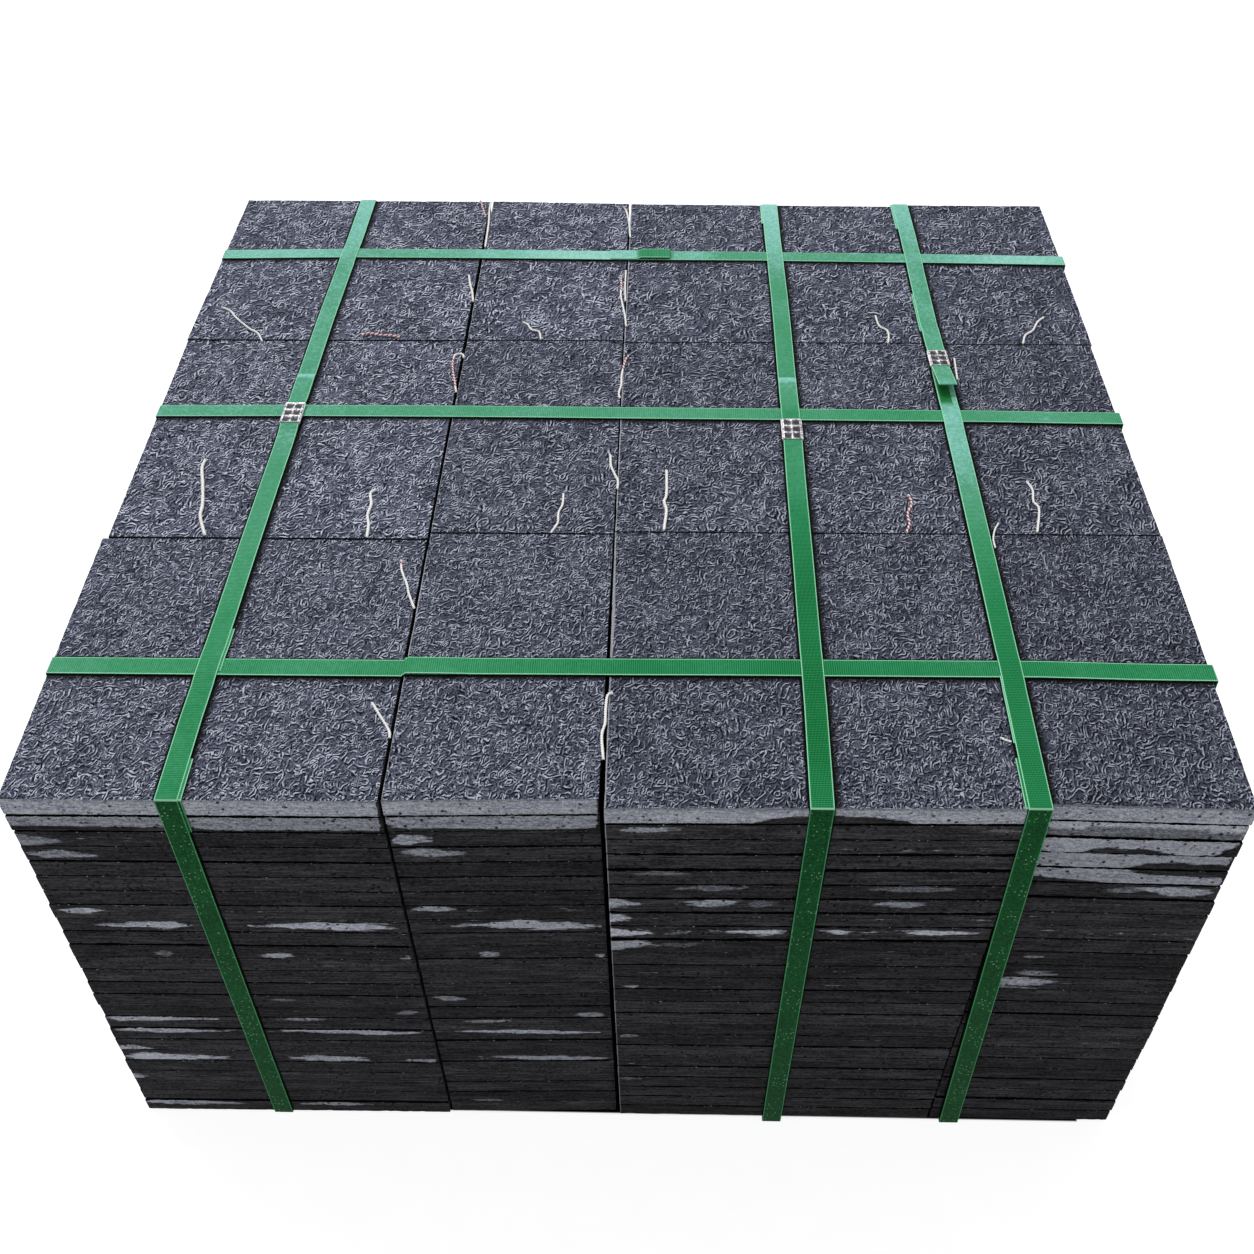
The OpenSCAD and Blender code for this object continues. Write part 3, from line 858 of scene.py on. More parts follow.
# Dry, pale streaks on the front faces of each layer: x from and to in mm. Then in percent: height
# of the middle at both ends and half the thickness, of the slab's, how pale, and where the streak
# is thickest: -100 at its left end, 0 in the middle and 100 at its right end
PALE_SPOTS = {
    2: [(466, 522, 62, 75, 18, 55, -50), (725, 776, 70, 62, 12, 30, 0)],
    3: [(-2, 40, 40, 40, 38, 65, -80), (292, 329, 44, 42, 33, 80, -60)],
    4: [(1, 66, 47, 33, 26, 65, -20), (294, 353, 72, 55, 26, 50, -30)],
    5: [(470, 530, 82, 84, 13, 30, 0)],
    6: [
        (508, 572, 76, 80, 19, 42, 0), (655, 736, 76, 76, 20, 40, 0), (845, 880, 55, 55, 22, 40, 0),
        (866, 936, 66, 58, 32, 80, 10),
    ],
    7: [
        (455, 486, 66, 60, 34, 75, -100), (508, 566, 64, 74, 25, 70, 30),
        (563, 596, 72, 72, 20, 25, 0), (662, 718, 72, 70, 22, 55, 0),
    ],
    8: [
        (2, 52, 55, 57, 18, 80, 0), (298, 336, 82, 80, 19, 85, 0), (455, 480, 60, 60, 32, 85, -100),
    ],
    9: [
        (26, 118, 46, 51, 24, 90, 50), (147, 291, 48, 42, 26, 90, 40),
        (318, 343, 72, 66, 10, 50, 100), (332, 457, 66, 42, 31, 95, 0),
        (455, 498, 44, 44, 32, 95, -100), (494, 528, 46, 46, 12, 30, 0),
        (550, 602, 58, 58, 19, 95, 60), (629, 656, 66, 64, 13, 95, 0),
        (688, 764, 66, 60, 14, 95, 0),
    ],
    10: [(455, 501, 66, 58, 40, 95, -100), (490, 540, 60, 72, 17, 30, 0)],
    11: [
        (70, 91, 40, 33, 21, 35, 0), (158, 193, 30, 32, 19, 95, 0), (274, 293, 12, 10, 13, 80, 100),
        (341, 370, 36, 30, 18, 75, 0), (440, 458, 16, 14, 16, 85, 100),
        (799, 820, 62, 60, 11, 65, 0),
    ],
    12: [
        (288.5, 293.5, 50, 50, 48, 95, 0), (453.5, 458.5, 50, 50, 48, 95, 0),
        (790, 841, 28, 28, 18, 60, 10),
    ],
    13: [
        (466, 484, 17, 18, 9, 90, 0), (782, 842, 56, 62, 38, 80, -80),
        (784, 829, 5, 8, 12, 45, -50),
    ],
    15: [(152, 180, 65, 62, 14, 35, 0), (298, 333, 78, 68, 18, 75, 0)],
    16: [(262, 286, 49, 52, 20, 55, 0), (420, 452, 26, 22, 24, 65, 30)],
    17: [
        (-6, 114, 81, 82, 20, 85, -70), (146, 206, 83, 85, 13, 50, 0),
        (316, 369, 78, 74, 14, 45, 0),
    ],
    18: [
        (-6, 117, 84, 80, 19, 90, -30), (145, 292, 90, 80, 19, 90, 20),
        (302, 456, 86, 55, 17, 90, 0), (461, 484, 84, 84, 14, 55, -50),
    ],
    19: [(-7, 37, 16, 16, 22, 80, -80)],
    20: [
        (-8, 106, 32, 24, 34, 95, -60), (146, 236, 34, 30, 26, 85, 0),
        (256, 294, 17, 15, 16, 70, 100), (321, 459, 42, 12, 20, 90, 20),
    ],
    22: [(-9, 14, 38, 40, 23, 70, -100), (460, 486, 80, 80, 14, 40, -50)],
    24: [(308, 358, 14, 10, 11, 65, 0)],
    25: [(-9, 114, 84, 70, 22, 85, -70), (140, 228, 80, 86, 12, 70, 0)],
}

# Columns and layers that are pale right across: how pale in percent, then one or two lines, x in
# mm and height in percent of the slab's. The face is pale above the first and below the second
WHOLE = [(0, -20)]
NO_LID = [(0, 200)]
PALE_BANDS = {
    (0, 1): [(100, WHOLE)],
    (0, 2): [(85, [(0, 38), (60, 33), (140, 26), (170, 15), (300, 18)])],
    (1, 1): [(100, WHOLE)],
    (1, 2): [(85, [(290, 60), (303, 25), (330, 25), (375, 12), (440, 15), (460, 30)])],
    (2, 1): [(100, [
        (560, -20), (569, 10), (580, 33), (598, 52), (629, 56), (657, 43), (676, 25), (705, -20),
    ])],
    (3, 1): [(97, WHOLE)],
    (3, 2): [
        (42, WHOLE),
        (106, [(760, 72), (786, 70), (803, 58), (812, 72), (832, 86), (885, 80), (940, 66)]),
    ],
    (3, 3): [(104, [
        (760, -20), (813, -10), (828, 38), (837, 46), (850, 33), (865, 40), (884, 10), (900, -10),
        (916, -5), (924, 50), (934, 85),
    ])],
    (3, 4): [(104, [
        (760, -20), (850, -10), (862, 20), (875, 42), (884, 52), (912, 48), (940, 40),
    ])],
    (3, 5): [(
        102, [(760, 50), (788, 39), (817, 23), (840, 10), (848, -20)],
        [(848, 200), (858, 110), (866, 70), (884, 62), (912, 56)],
    )],
}

# How wide the cracks between layers stand open: the first one, the widest of the others, and
# shares of it for each column and, drawn at random, for each crack
FIRST_CRACK = 2.4 * MM
CRACK_WIDEST = 2.4 * MM
CRACKS = (0.75, 0.75, 1.15, 0.85)
CRACK_SHARES = (0.3, 0.3, 0.5, 0.7, 1.0)
# In each column, the cracks down to this one are all wide
BOLD_CRACKS = (0, 0, 8, 6)

# How much darker or lighter than usual each top slab is, front to back in each column: partly tone
# that differs from slab to slab, partly painted light that makes every column lighter towards the
# back
TOP_TONES = (
    (0.75, 0.88, 0.87),
    (0.69, 0.68, 0.87),
    (0.58, 0.64, 0.73),
    (0.52, 0.57, 0.67),
)
# The least a lower slab's tone may be, and the range above it
SLAB_TONES = (0.72, 0.56)
# How fine the texture of the tops is, row by row from the front
TOP_FINENESS = (1.15, 0.95, 0.82)
# Painted highlights on left arrises on top, in mm of width, in each column: none, faint, strong,
# none
ARRIS_WIDTH = (0, 0.5, 1.2, 0)
# Where along a column they are wider, in metres from the middle of the stack, over what length
# and by how much
ARRIS_WIDEST = -0.25
ARRIS_REACH = 0.06
ARRIS_SWELL = 1.2


def islands(node):
    """The separate solids of a CAD node: lists of corner points."""
    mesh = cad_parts[node].data
    points = np.array([v.co for v in mesh.vertices])
    places = np.round(points / SAME_POINT)
    _, first, same = np.unique(places, axis=0, return_index=True, return_inverse=True)
    same = same.ravel()
    group = list(range(len(first)))

    def root(i):
        while group[i] != i:
            i = group[i]
        return i

    for polygon in mesh.polygons:
        corners = [root(same[v]) for v in polygon.vertices]
        for c in corners:
            group[c] = corners[0]
    found = {}
    for i, point in enumerate(first):
        found.setdefault(root(i), []).append(points[point])
    return [np.array(solid) for solid in found.values()]


def slab_corners(solid):
    """Left front, right front, right back and left back corner of a slab, and its z range."""
    flat = np.unique(np.round(solid[:, :2], CORNER_DIGITS), axis=0)
    middle = flat.mean(axis=0)
    order = np.argsort(np.arctan2(*(flat - middle).T[::-1]))
    return flat[order], solid[:, 2].min(), solid[:, 2].max()


def placed_slabs(node):
    """Every slab of a layer as (column, row, corners, z0, z1)."""
    slabs = [slab_corners(s) for s in islands(node)]
    slabs.sort(key=lambda s: s[0][:, 0].mean())
    per_column = len(slabs) // COLUMNS
    for k, slab in enumerate(slabs):
        column = k // per_column
        mates = slabs[column * per_column:(column + 1) * per_column]
        row = sum(other[0][:, 1].mean() < slab[0][:, 1].mean() for other in mates)
        yield column, row, *slab


def side_lengths(corners):
    return np.linalg.norm(np.roll(corners, -1, axis=0) - corners, axis=1)


# How much brighter the streaks are than the pale layers, and how much less pale a place gets
# that is not all pale
STREAK_GLOW = 1.12
PALE_POWER = 1.4
# A streak waves up and down over this length in mm
STREAK_WAVE = 14.0
# How sharp the edges of the pale bands are
BAND_EDGE = 5


def streak_thickness(share, lean):
    """How thick a streak is at a share of its length, as a share of its thickest."""
    peak = 0.5 + 0.42 * lean
    left = smoothstep(0, max(peak, 0.08), share)
    right = 1 - smoothstep(0, 1, (share - peak) / (1 - peak))
    return np.minimum(left, right) ** 0.7


def line_height(x, line):
    """Height of a line of PALE_BANDS at x in mm, as a share of the slab's."""
    places, percent = np.array(line, float).T
    return np.interp(x, places, percent / 100)


def pale_on_front(layer, column, x, height):
    """How far inside a pale place each point is, from about -1 to 1, and how pale the place is.
    x in mm; height from 0 to 1 over the slab."""
    inside, level = np.full(x.shape, -1.0), np.zeros(x.shape)
    for how_pale, *lines in PALE_BANDS.get((column, layer), ()):
        low, high = (line_height(x, line) for line in (*lines, NO_LID)[:2])
        depth = np.clip(BAND_EDGE * np.minimum(height - low, high - height), -1, 1)
        inside = np.maximum(inside, depth)
        level = np.where(depth > -0.7, how_pale / 100, level)
    for x0, x1, *percent in PALE_SPOTS.get(layer, ()):
        mid0, mid1, half, how_pale, lean = (p / 100 for p in percent)
        share = (x - x0) / (x1 - x0)
        wave = 0.5 * half * (noise(x / STREAK_WAVE, layer * 3.7, WAVE_SEED) - 0.5)
        middle = mid0 + (mid1 - mid0) * share + wave
        thick = half * streak_thickness(share, lean)
        depth = np.clip((thick - np.abs(height - middle)) / half, -1, 1) - 0.3 * (thick < 0.02)
        level = np.where((depth > inside) & (depth > -0.6), STREAK_GLOW * how_pale, level)
        inside = np.maximum(inside, depth)
    return inside, level ** PALE_POWER


def pale_elsewhere(layer, along, height, seed):
    """The same for a side that has no named places: pale top layers and scattered lenses."""
    drift = rough_noise(along / 90.0, layer * 7.3, seed)
    near = np.exp(-(((height - 0.3 - drift * 0.5) / 0.16) ** 2))
    lens = 2.2 * smoothstep(0.62, 0.76, drift) * near - 1
    level = np.full(lens.shape, 0.55)
    if layer == 1:
        return np.ones(lens.shape), level + 0.3
    if layer == 2:
        edge = 0.35 + 0.5 * (rough_noise(along / 70.0, 3.0, seed) - 0.5)
        band = np.clip(BAND_EDGE * (height - edge), -1, 1)
        return np.maximum(lens, band), level + 0.2
    return lens, level


def chips(along, layer, seed):
    """How far an edge is broken down at places along it in mm: small nicks, and a few larger."""
    nick = smoothstep(0.55, 0.80, noise(along / 5.0, layer * 5.7, seed)) * 0.5
    bite = smoothstep(0.74, 0.86, noise(along / 13.0, layer * 3.3, seed + 5)) * 1.1
    return (nick + bite * (0.5 + 0.5 * noise(along / 3.0, layer * 2.3, seed + 9))) * MM


def drawn(a, b, seed):
    """A fixed random number from 0 to 1 for two whole numbers."""
    return lattice(np.array(a), np.array(b), seed)


def crack(along, boundary, column, seed):
    """How wide the crack under layer number boundary stands open."""
    wave = 0.25 + 1.5 * rough_noise(along / 10.0, boundary * 9.1, seed) ** 1.5
    if boundary == 1:
        return FIRST_CRACK * (0.6 + 0.4 * wave)
    share = CRACK_SHARES[int(drawn(boundary, column, CRACK_SEED) * len(CRACK_SHARES))]
    if boundary <= BOLD_CRACKS[column]:
        share = 1.0
    return CRACK_WIDEST * CRACKS[column] * share * wave


def slab_rim(corners, steps):
    """Points along a slab's outline, each side cut into steps[side] parts, with their outward
    direction, their side and their distance along it."""
    points, outward, sides, along = [], [], [], []
    for side in range(4):
        a, b = corners[side], corners[(side + 1) % 4]
        length = np.linalg.norm(b - a)
        ahead = (b - a) / length
        share = np.arange(steps[side]) / steps[side]
        if side == 0:
            share[1] = NEAR_CORNER / length
        points.append(a + (b - a) * share[:, None])
        outward.append(np.repeat([[ahead[1], -ahead[0]]], steps[side], axis=0))
        sides.append(np.full(steps[side], side))
        along.append(points[-1][:, side % 2])
    points, outward = np.vstack(points), np.vstack(outward)
    for start in np.cumsum([0] + list(steps[:3])):
        outward[start] = outward[start] + outward[start - 1]
    return points, outward, np.concatenate(sides), np.concatenate(along)


def outer_sides(column, row):
    """Which of a slab's front, right, back and left faces are on the outside of the stack."""
    return np.array([row == 0, column == COLUMNS - 1, row == ROWS - 1, column == 0])


SLAB_VALUES = ("pale", "level", "gap", "arris", "crack")


def plain_values(count, at_crack):
    """SLAB_VALUES of points that are on no side face."""
    return [np.full(count, v) for v in (-1.0, 0.0, FAR_GAP, FAR_GAP, at_crack)]


def side_rings(corners, z0, z1, steps, layer, column, row):
    """Rings of points up the four faces of a slab, from its lower to its upper edge, with the
    SLAB_VALUES of each, and the same points a lip's width inside the slab's outline."""
    points, outward, sides, along = slab_rim(corners, steps)
    along_mm = (along - np.where(sides % 2 == 0, DATUM.x, DATUM.y)) / MM
    seed = SIDE_SEED + 10 * column + row
    below = crack(along_mm, layer, column, seed) / 2
    above = crack(along_mm, layer - 1, column, seed) / 2 if layer > 1 else ARRIS_IN
    nicks = {0: chips(along_mm, layer, seed), 1: chips(along_mm, layer + 0.5, seed)}
    on_front = (sides == 0) & (row == 0)
    on_outside = outer_sides(column, row)[sides]
    # Distance from the left arris of the third column's front, for a painted highlight there
    arris = np.where(on_front & (column == 2), np.abs(along_mm - along_mm[0]), FAR_GAP)
    rings, values = [], []
    for height in SIDE_LEVELS:
        chip = nicks.get(height, 0 * along_mm) * (TOP_CHIPPED if layer == 1 else 1)
        rough = SAWN_ROUGH * rough_noise(along_mm / 7.0, layer * 3.1 + height, seed + 3) * MM
        edge = ARRIS_IN if height in nicks else 0
        z = z0 + below + (z1 - z0 - below - above) * height
        z = z + 0.5 * chip * (1 if height == 0 else -1)
        rings.append(np.column_stack([points - outward * (rough + chip + edge)[:, None], z]))
        front, front_level = pale_on_front(layer, column, along_mm, height)
        other, other_level = pale_elsewhere(layer, along_mm, height, seed + 20)
        # Points at a crack carry its painted shade
        at_crack = height == 0 or (height == 1 and layer > 1)
        values.append((
            np.where(on_front, front, np.where(on_outside, other, -1)),
            np.where(on_front, front_level, other_level),
            np.where(on_front, strap_gap_on_front(points[:, 0], z), FAR_GAP),
            arris,
            np.full(len(points), float(at_crack)),
        ))
    return rings, values, points - outward * LIP


def slab_points(rings, values):
    """One array of points, and one for each of SLAB_VALUES."""
    return np.vstack(rings), [np.concatenate(v) for v in zip(*values)]


def plain_slab(corners, z0, z1, layer, column, row):
    """A slab below the top layer: worn faces, and flat beds that only the gaps show."""
    outer_step = [FRONT_STEP, OUTER_STEP, OUTER_STEP, OUTER_STEP]
    step = np.where(outer_sides(column, row), outer_step, INNER_STEP)
    steps = [max(2, round(l / s)) for l, s in zip(side_lengths(corners), step)]
    rings, values, inner = side_rings(corners, z0, z1, steps, layer, column, row)
    count = len(inner)
    low, high = (np.column_stack([inner, np.full(count, z)]) for z in (z0, z1))
    # The beds count as at a crack, so they carry its painted shade
    bed = plain_values(count, 1.0)
    verts, values = slab_points([low, *rings, high], [bed, *values, bed])
    return verts, swept_faces(count, len(rings) + 2), values


def relief(x, y, seed):
    """Depth of the rough top below its highest points, from 0 to 1. x and y in mm."""
    broad = rough_noise(x / 16.0, y / 16.0, seed, 2)
    worms = 1 - np.abs(2 * noise(x / 6.5, y / 6.5, seed + 5) - 1)
    return np.clip(0.15 + 0.45 * broad + 0.40 * (1 - worms), 0, 1)


def grid_faces(index):
    """Faces of a grid of points. index holds their numbers, row by row."""
    corners = [index[:-1, :-1], index[:-1, 1:], index[1:, 1:], index[1:, :-1]]
    return [tuple(face) for face in np.stack(corners, axis=-1).reshape(-1, 4).tolist()]


def top_slab(corners, z0, z1, column, row):
    """A slab of the top layer: its top is a grid of points that carries the relief."""
    lengths = side_lengths(corners)
    across, deep = (max(LEAST_STEPS, round(length / RELIEF_STEP)) for length in lengths[:2])
    steps = [across, deep, across, deep]
    rings, values, inner = side_rings(corners, z0, z1, steps, 1, column, row)
    count = len(inner)
    seed = TOP_SEED + 10 * column + row

    # The rim of the grid is the uppermost ring, and the rest is laid out between its four sides
    u, v = np.meshgrid(np.arange(across + 1) / across, np.arange(deep + 1) / deep)
    weights = ((1 - u) * (1 - v), u * (1 - v), u * v, (1 - u) * v)
    flat = sum(weight[..., None] * corner for weight, corner in zip(weights, corners))
    x, y = (flat[..., 0] - DATUM.x) / MM, (flat[..., 1] - DATUM.y) / MM
    depth = relief(x, y, seed) * RELIEF_DEPTH
    from_edge = [u * lengths[0], (1 - u) * lengths[0], v * lengths[1], (1 - v) * lengths[1]]
    worn = 1 - smoothstep(0, RIM_WIDE, np.minimum.reduce(from_edge))
    depth = depth + RIM_WORN * worn * noise(x / 5.0, y / 5.0, seed + 9)
    top = np.dstack([flat, z1 - depth])

    index = np.full((deep + 1, across + 1), -1)
    border = [(0, i) for i in range(across)] + [(j, across) for j in range(deep)]
    border += [(deep, i) for i in range(across, 0, -1)] + [(j, 0) for j in range(deep, 0, -1)]
    first_free = (len(rings) + 1) * count
    index[tuple(zip(*border))] = first_free - count + np.arange(count)
    free = index < 0
    index[free] = first_free + np.arange(free.sum())
    bottom = np.column_stack([inner, np.full(count, z0)])
    verts, values = slab_points(
        [bottom, *rings, top[free]],
        [plain_values(count, 1.0), *values, plain_values(free.sum(), 0.0)],
    )
    faces = [tuple(reversed(range(count)))]
    for k in range(len(rings)):
        faces += loop_faces(count, k * count, (k + 1) * count)
    top_faces = grid_faces(index)
    on_top = [0] * len(faces) + [1] * len(top_faces)
    return verts, faces + top_faces, values, on_top


def make_layer(node, layer):
    slabs = []
    for column, row, corners, z0, z1 in placed_slabs(node):
        verts, faces, values = plain_slab(corners, z0, z1, layer, column, row)
        tone = SLAB_TONES[0] + SLAB_TONES[1] * drawn(layer, ROWS * column + row, TONE_SEED)
        slabs.append((verts, faces, [*values, np.full(len(verts), tone * TONE_SCALE)]))
    verts, faces, values = joined(slabs)
    name = node.replace("layer", "slabs")
    named = dict(zip((*SLAB_VALUES, "tone"), values))
    make_piece(name, node, "basalt", verts, faces, STONE_SIDE, **named)


def make_top_layer():
    for column, row, corners, z0, z1 in placed_slabs(TOP_LAYER):
        verts, faces, values, on_top = top_slab(corners, z0, z1, column, row)
        named = dict(zip(SLAB_VALUES, values))
        left, back = corners[0], corners[3]
        y = verts[:, 1]
        share = (y - left[1]) / (back[1] - left[1])
        from_left = (verts[:, 0] - left[0] - (back[0] - left[0]) * share) / MM
        in_top = verts[:, 2] > z1 - 2 * RELIEF_DEPTH
        named["stain"], top_gap = near_straps(verts)
        named["gap"] = np.where(in_top, top_gap, named["gap"])
        # Width of the painted highlight along the top's left arris
        swell = ARRIS_SWELL * np.exp(-(((y - ARRIS_WIDEST) / ARRIS_REACH) ** 2))
        width = ARRIS_WIDTH[column] * (1 + swell)
        named["rim"] = np.where(width > 0, from_left - width, FAR_GAP)
        named["tone"] = np.where(in_top, TOP_TONES[column][row], 1) * TONE_SCALE
        named["fine"] = np.full(len(verts), TOP_FINENESS[row])
        name = f"top_slab_{'abcd'[column]}{row + 1}"
        make_piece(
            name, TOP_LAYER, "basalt", verts, faces, STONE_SIDE, STONE_TOP,
            face_material=on_top, **named,
        )


make_top_layer()
for depth, name in enumerate(LAYERS[1:], start=2):
    make_layer(name, depth)


# ---------------------------------------------------------------- strap bands

# How far heights are smoothed along a strap, and along the upper layer of a lap
EASE = 3.5 * MM
LAP_EASE = 2.0 * MM


def stretch(run, z, lateral, side):
    """Points of a strap's path. Each value is one number for all of them, or one for each."""
    return np.column_stack(np.broadcast_arrays(run, z, lateral, side))


def fold(run, z, start, lateral, side):
    """A quarter turn to the right round the point (run, z), from the angle start."""
    angles = start - math.pi / 2 * (np.arange(1, FOLD_PARTS) / FOLD_PARTS)
    cos, sin = (np.array([f(a) for a in angles]) for f in (math.cos, math.sin))
    return stretch(run + FOLD * cos, z + FOLD * sin, lateral, side)


def strap_loop(line):
    """Middle of a strap's thickness all the way round: (run, z, lateral, side) for each point.
    side is 1 on the upright faces and below."""
    half = STRAP_T / 2
    near, far = line.start + half, line.end - half
    low_near, low_far = line.low_start + half, line.low_end - half
    low = line.foot + half
    top = line.stations()
    heights = eased(top, [line.under(a) + half for a in top], EASE)
    crown_near, crown_far = heights[0], heights[-1]
    first, last = float(line.middle(line.start)), float(line.middle(line.end))
    foot = line.foot_start
    down = np.linspace(crown_far - FOLD, low + FOLD, round((crown_far - low) / FACE_STEP))
    under = np.linspace(low_far - FOLD, low_near + FOLD, UNDER_STEPS)
    back = (under - low_near) / (low_far - low_near)
    up = np.linspace(low + FOLD, crown_near - FOLD, round((crown_near - low) / FACE_STEP))
    rise = (up - low) / (crown_near - low)
    return np.vstack([
        stretch(top, heights, line.middle(top), 0.0),
        fold(far - FOLD, crown_far - FOLD, math.pi / 2, last, 0.5),
        stretch(far, down, last, 1.0),
        fold(low_far - FOLD, low + FOLD, 0, last, 1.0),
        stretch(under, low, foot + (last - foot) * back, 1.0),
        fold(low_near + FOLD, low + FOLD, -math.pi / 2, foot, 1.0),
        stretch(low_near + (near - low_near) * rise, up, foot + (first - foot) * rise, 1.0),
        fold(near + FOLD, crown_near - FOLD, math.pi, first, 0.5),
    ])


# A strap's edges wander this far from side to side, over about this length
WANDER = 0.25 * MM
WANDER_LENGTH = 0.09


def ribbon(path, run, seed, closed=False, thick=STRAP_T):
    """SECTION swept along path. Gives its points, its faces, and the point values across, along
    and side."""
    flat = path[:, :2]
    if closed:
        ahead = unit(np.roll(flat, -1, axis=0) - np.roll(flat, 1, axis=0))
    else:
        ahead = unit(np.gradient(flat, axis=0))
    out = np.column_stack([-ahead[:, 1], ahead[:, 0]])
    shift = (noise(path[:, 0] / WANDER_LENGTH, seed * 3.3, 60 + seed) - 0.5) * 2 * WANDER
    shares, heights = np.array(SECTION).T
    spot = flat[:, None] + out[:, None] * (heights * thick)[:, None]
    verts = np.empty((len(path), len(SECTION), 3))
    verts[..., run], verts[..., 2] = spot[..., 0], spot[..., 1]
    verts[..., 1 - run] = (path[:, 2] + shift)[:, None] + shares * STRAP_W / 2
    values = [
        np.tile(shares, len(path)),
        np.repeat(distances_along(flat), len(SECTION)),
        np.repeat(path[:, 3], len(SECTION)),
    ]
    return verts.reshape(-1, 3), swept_faces(len(SECTION), len(path), closed), values


# A strap lies double where it is more than this many thicknesses high. Its height is measured at
# every probe, from this far inside its ends, and the upper layer has points a step apart
DOUBLE = 1.25
LAP_FROM_END = 20 * MM
LAP_PROBE = 0.5 * MM
LAP_STEP = 3 * MM
# Where the far end of a lap is less thick than this, its last two points come down by these
# shares of a thickness
FLAT_END = 1.4
FLAT_DROP = np.array([0.2, 0.6])
# Where the near end is less thick than this, it is hidden under a seal, and thins out over this
# length by this many thicknesses
NEAR_END = 2.2
THINNING = 25 * MM
THINNED = 1.05


def second_layer(line):
    """Path of the upper layer where a strap lies double, or None."""
    places = np.arange(line.start + LAP_FROM_END, line.end - LAP_FROM_END, LAP_PROBE)
    over, under = (np.array([height(p) for p in places]) for height in (line.over, line.under))
    double = over - under > DOUBLE * STRAP_T
    if not double.any():
        return None
    first, last = places[double][0], places[double][-1]
    stops = np.linspace(first, last, max(3, round((last - first) / LAP_STEP)))
    heights = np.interp(stops, places[double], over[double]) - STRAP_T / 2
    heights = eased(stops, heights, LAP_EASE)
    thick = (over - under)[double]
    if thick[-1] < FLAT_END * STRAP_T:
        heights[-2:] -= FLAT_DROP * STRAP_T
    if line.run == 1 and thick[0] < NEAR_END * STRAP_T:
        heights -= THINNED * STRAP_T * np.clip(1 - (stops - first) / THINNING, 0, 1)
    return stretch(stops, heights, line.middle(stops), 0.0)


# How many points of a strap's loop are used before its top, and which of them is on the arris
LEAD = 60
LEAD_ARRIS = 58


def sliver(line, first, last, aside):
    """Path of a length of second layer that shows beside a strap."""
    loop = strap_loop(line)
    rise = np.vstack([loop[-LEAD:], loop[:len(line.stations())]])
    along = distances_along(rise[:, :2])
    along = (along - along[LEAD_ARRIS]) / MM
    # Two points at one place have no direction between them
    last = min(last, along[-1])
    stops = np.linspace(first, last, max(3, round((last - first) / SLIVER_STEP)))
    path = np.column_stack([np.interp(stops, along, column) for column in rise.T])
    path[:, 2] += aside * MM
    return path


def tail_shadow(verts, place):
    """Painted shadow under the loose tail on each point, from 0 to 1."""
    first, last = TAIL_SHADOW
    outer, inner = TAIL_SHADOW_SOFT
    lowest = verts[:, 2] < TOP_Z + LOWEST_LAYER * STRAP_T
    under = lowest * smoothstep(first - outer, first + inner, place)
    return TAIL_SHADOW_SHARE * under * (1 - smoothstep(last - inner, last + outer, place))


def strap_piece(node, line):
    seed = len(node)
    parts = [ribbon(strap_loop(line), line.run, seed, closed=True)]
    upper = second_layer(line)
    if upper is not None:
        parts.append(ribbon(upper, line.run, seed))
    for place in line.slivers:
        parts.append(ribbon(sliver(line, *place), line.run, seed, thick=SLIVER_T))
    verts, faces, (across, along, side) = joined(parts)
    place = (verts[:, line.run] - line.datum) / MM
    under = tail_shadow(verts, place) if node == "strap_right" else np.zeros(len(verts))
    make_piece(
        node + "_band", node, "strap", verts, faces, GREEN,
        across=across, along=along, side=side, under=under, fade=np.interp(place, *line.fade),
    )


for name, line in strap_lines.items():
    strap_piece(name, line)


# ---------------------------------------------------------------- clip seals

SEAL_WALL = 1.0 * MM
# How much of its wall a seal's inside is in from the outside
SEAL_INSIDE = 0.85
CRIMP_ROWS = 3
CRIMP_COLUMNS = 2
CRIMP_DEPTH = 0.8 * MM
# Below 1 they square off the crimps' waves, across and along
CRIMP_POWERS = (0.6, 0.8)
SEAL_STEPS = 40
SEAL_TOP_STEPS = 28
SEAL_EDGE_STEPS = 4
# Where its rounded corners start, as a share of half its size, and how much narrower it is there
SEAL_ROUND = 0.93
SEAL_CORNER = 0.25


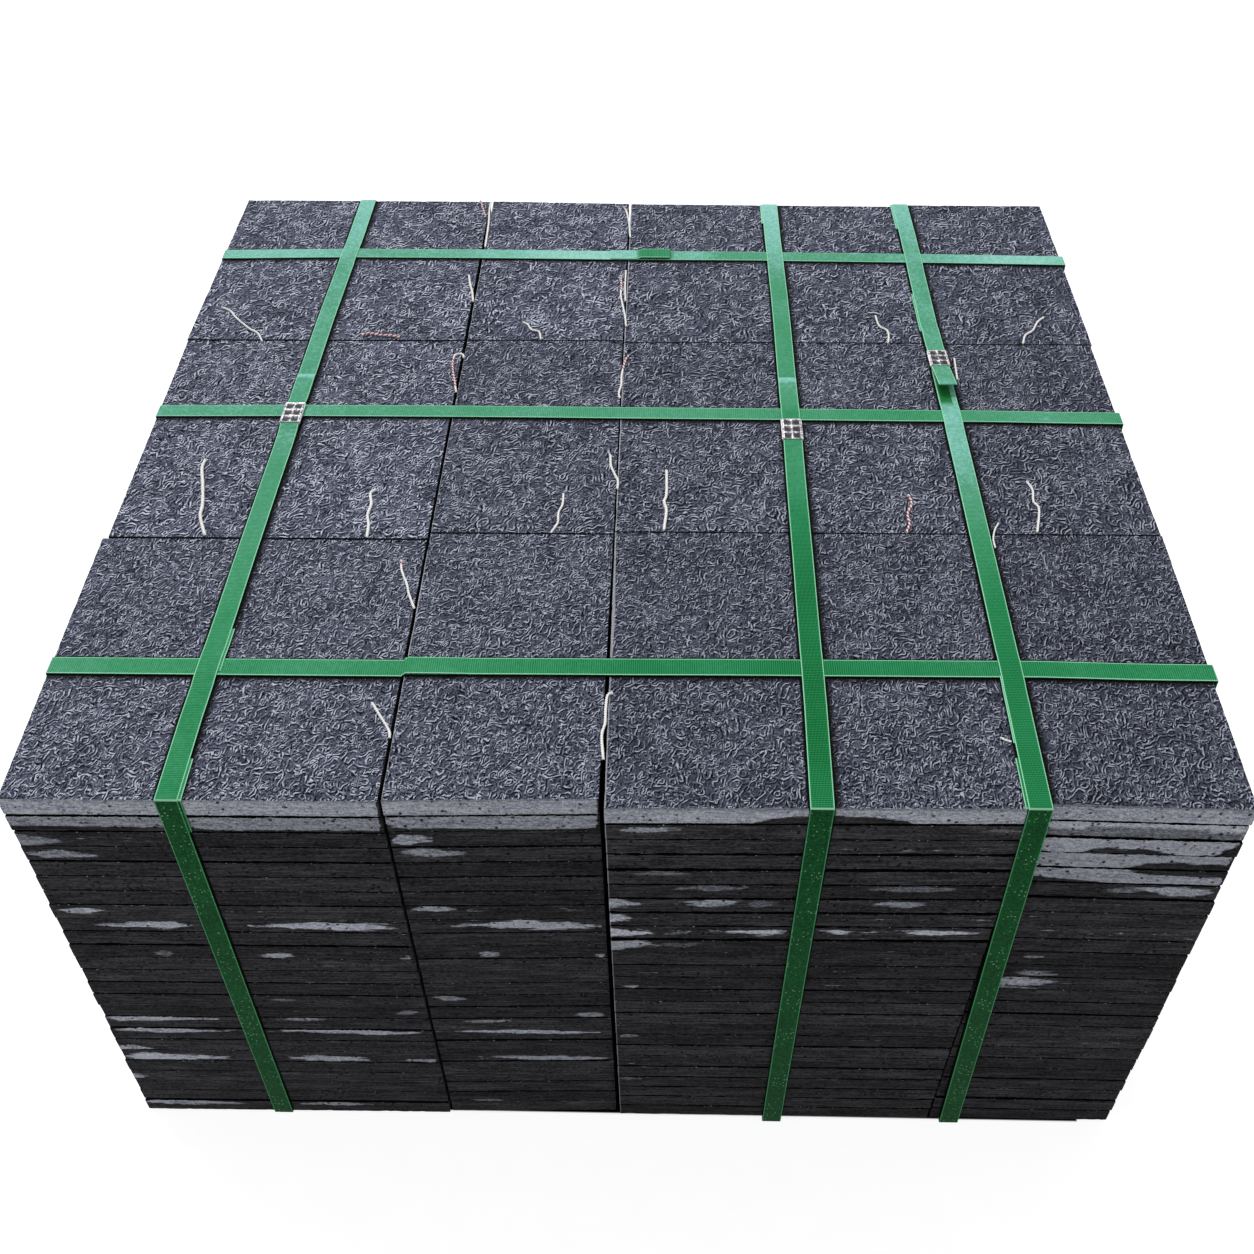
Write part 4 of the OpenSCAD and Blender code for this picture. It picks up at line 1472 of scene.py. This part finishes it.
def make_seal(node, line):
    low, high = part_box(node)
    half_w = STRAP_W / 2 + SEAL_WALL
    half_h = (high.z - low.z) / 2
    wide = [2 * k / SEAL_TOP_STEPS for k in range(SEAL_TOP_STEPS)]
    tall = [2 * k / SEAL_EDGE_STEPS for k in range(SEAL_EDGE_STEPS)]
    ring = [(-1 + t, 1) for t in wide] + [(1, 1 - t) for t in tall]
    ring += [(1 - t, -1) for t in wide] + [(-1, -1 + t) for t in tall]
    verts, dips = [], []
    for shrink in (0, SEAL_WALL * SEAL_INSIDE):
        for j in range(SEAL_STEPS + 1):
            v = j / SEAL_STEPS
            y = low.y + (high.y - low.y) * v
            middle = line.middle(y)
            for a, b in ring:
                corner = 1 - SEAL_CORNER * (abs(a) > SEAL_ROUND and abs(b) > SEAL_ROUND)
                x = middle + a * (half_w - shrink) * corner
                z = (low.z + high.z) / 2 + b * (half_h - shrink)
                dip = 0.0
                if b == 1 and shrink == 0:
                    cross = abs(math.sin(math.pi * (a + 1) / 2 * CRIMP_COLUMNS)) ** CRIMP_POWERS[0]
                    dip = cross * abs(math.sin(math.pi * v * CRIMP_ROWS)) ** CRIMP_POWERS[1]
                    z -= CRIMP_DEPTH * dip
                dips.append(dip)
                verts.append((x, y, z))
    count = len(ring)
    shell = (SEAL_STEPS + 1) * count
    faces = []
    for j in range(SEAL_STEPS):
        for quad in loop_faces(count, j * count, (j + 1) * count):
            faces += [quad, tuple(i + shell for i in reversed(quad))]
    for start, turn in ((0, 1), (shell - count, -1)):
        for a in range(count):
            here, there = start + a, start + (a + 1) % count
            faces.append((here, shell + here, shell + there, there)[::turn])
    make_piece(node + "_sleeve", node, "seal", verts, faces, STEEL, crimp=dips)


for name, line in zip(("seal_left", "seal_middle", "seal_right"), front_straps):
    make_seal(name, line)


# ---------------------------------------------------------------- floor and light

FLOOR_HALF = 6.0
FLOOR_STEPS = 24
FLOOR_BELOW = 2.2 * MM
FLOOR_GLOW = 0.84
# How far inside the stack's outline the floor carries painted shade: what shows of it through an
# open joint
SHADE_IN = 30 * MM
SHADE_IN_FRONT = 6 * MM
SHADE_SOFT = 2 * MM
WHITE = (1, 1, 1, 1)

AMBIENT = 0.5
SUN_TURN = (-26, -16, 0)
SUN_STRENGTH = 1.75
SUN_SPREAD = 24


def floor_material():
    """Pale floor that the camera sees as white, with the stack's shadow on it, and painted shade
    under the stack.
    """
    g = material("floor_pale")
    speck = g.noise(g.position(30), 1.0, 4.0)
    g.colour = g.ramp(speck, (0.3, 176, 176, 178), (0.7, 182, 182, 184))
    low = TOP_LOW + Vector((SHADE_IN, SHADE_IN_FRONT, 0))
    high = TOP_HIGH - Vector((SHADE_IN, SHADE_IN, 0))
    off_centre = g.vector("ABSOLUTE", g.vector("SUBTRACT", g.position(1), tuple((low + high) / 2)))
    half = (high - low) / 2
    in_x, in_y = (
        g.step(g.node("SeparateXYZ", key, {0: off_centre}), half[k], half[k] - SHADE_SOFT)
        for k, key in enumerate("XY")
    )
    covered = in_x * in_y
    # Painted shade on the floor under the stack
    g.paint(covered, 12, 12, 13)
    glow = g.seen() * g.scaled(covered, 0, 1, FLOOR_GLOW, 0.0)
    return g.finish(0.9, specular=0.0, **{"Emission Color": WHITE, "Emission Strength": glow})


def make_floor():
    places = np.linspace(-FLOOR_HALF, FLOOR_HALF, FLOOR_STEPS + 1)
    verts = [(x, y, FOOT_Z - FLOOR_BELOW) for y in places for x in places]
    mesh = bpy.data.meshes.new("floor")
    mesh.from_pydata(verts, [], grid_faces(np.arange(len(verts)).reshape(len(places), -1)))
    mesh.materials.append(floor_material())
    floor = bpy.data.objects.new("floor", mesh)
    scene.collection.objects.link(floor)


def make_world():
    """White where the camera looks, and dimmer for the light it gives."""
    g = Graph(bpy.data.worlds.new("studio"), "Background")
    g.put(g.shader, "Color", WHITE)
    g.put(g.shader, "Strength", g.scaled(g.seen(), 0, 1, AMBIENT, 1.0))
    scene.world = g.owner


def make_sun():
    lamp = bpy.data.lights.new("soft_key", "SUN")
    lamp.energy = SUN_STRENGTH
    lamp.angle = math.radians(SUN_SPREAD)
    sun = bpy.data.objects.new("soft_key", lamp)
    scene.collection.objects.link(sun)
    sun.rotation_euler = [math.radians(a) for a in SUN_TURN]


make_floor()
make_world()
make_sun()
scene.view_settings.view_transform = "Standard"
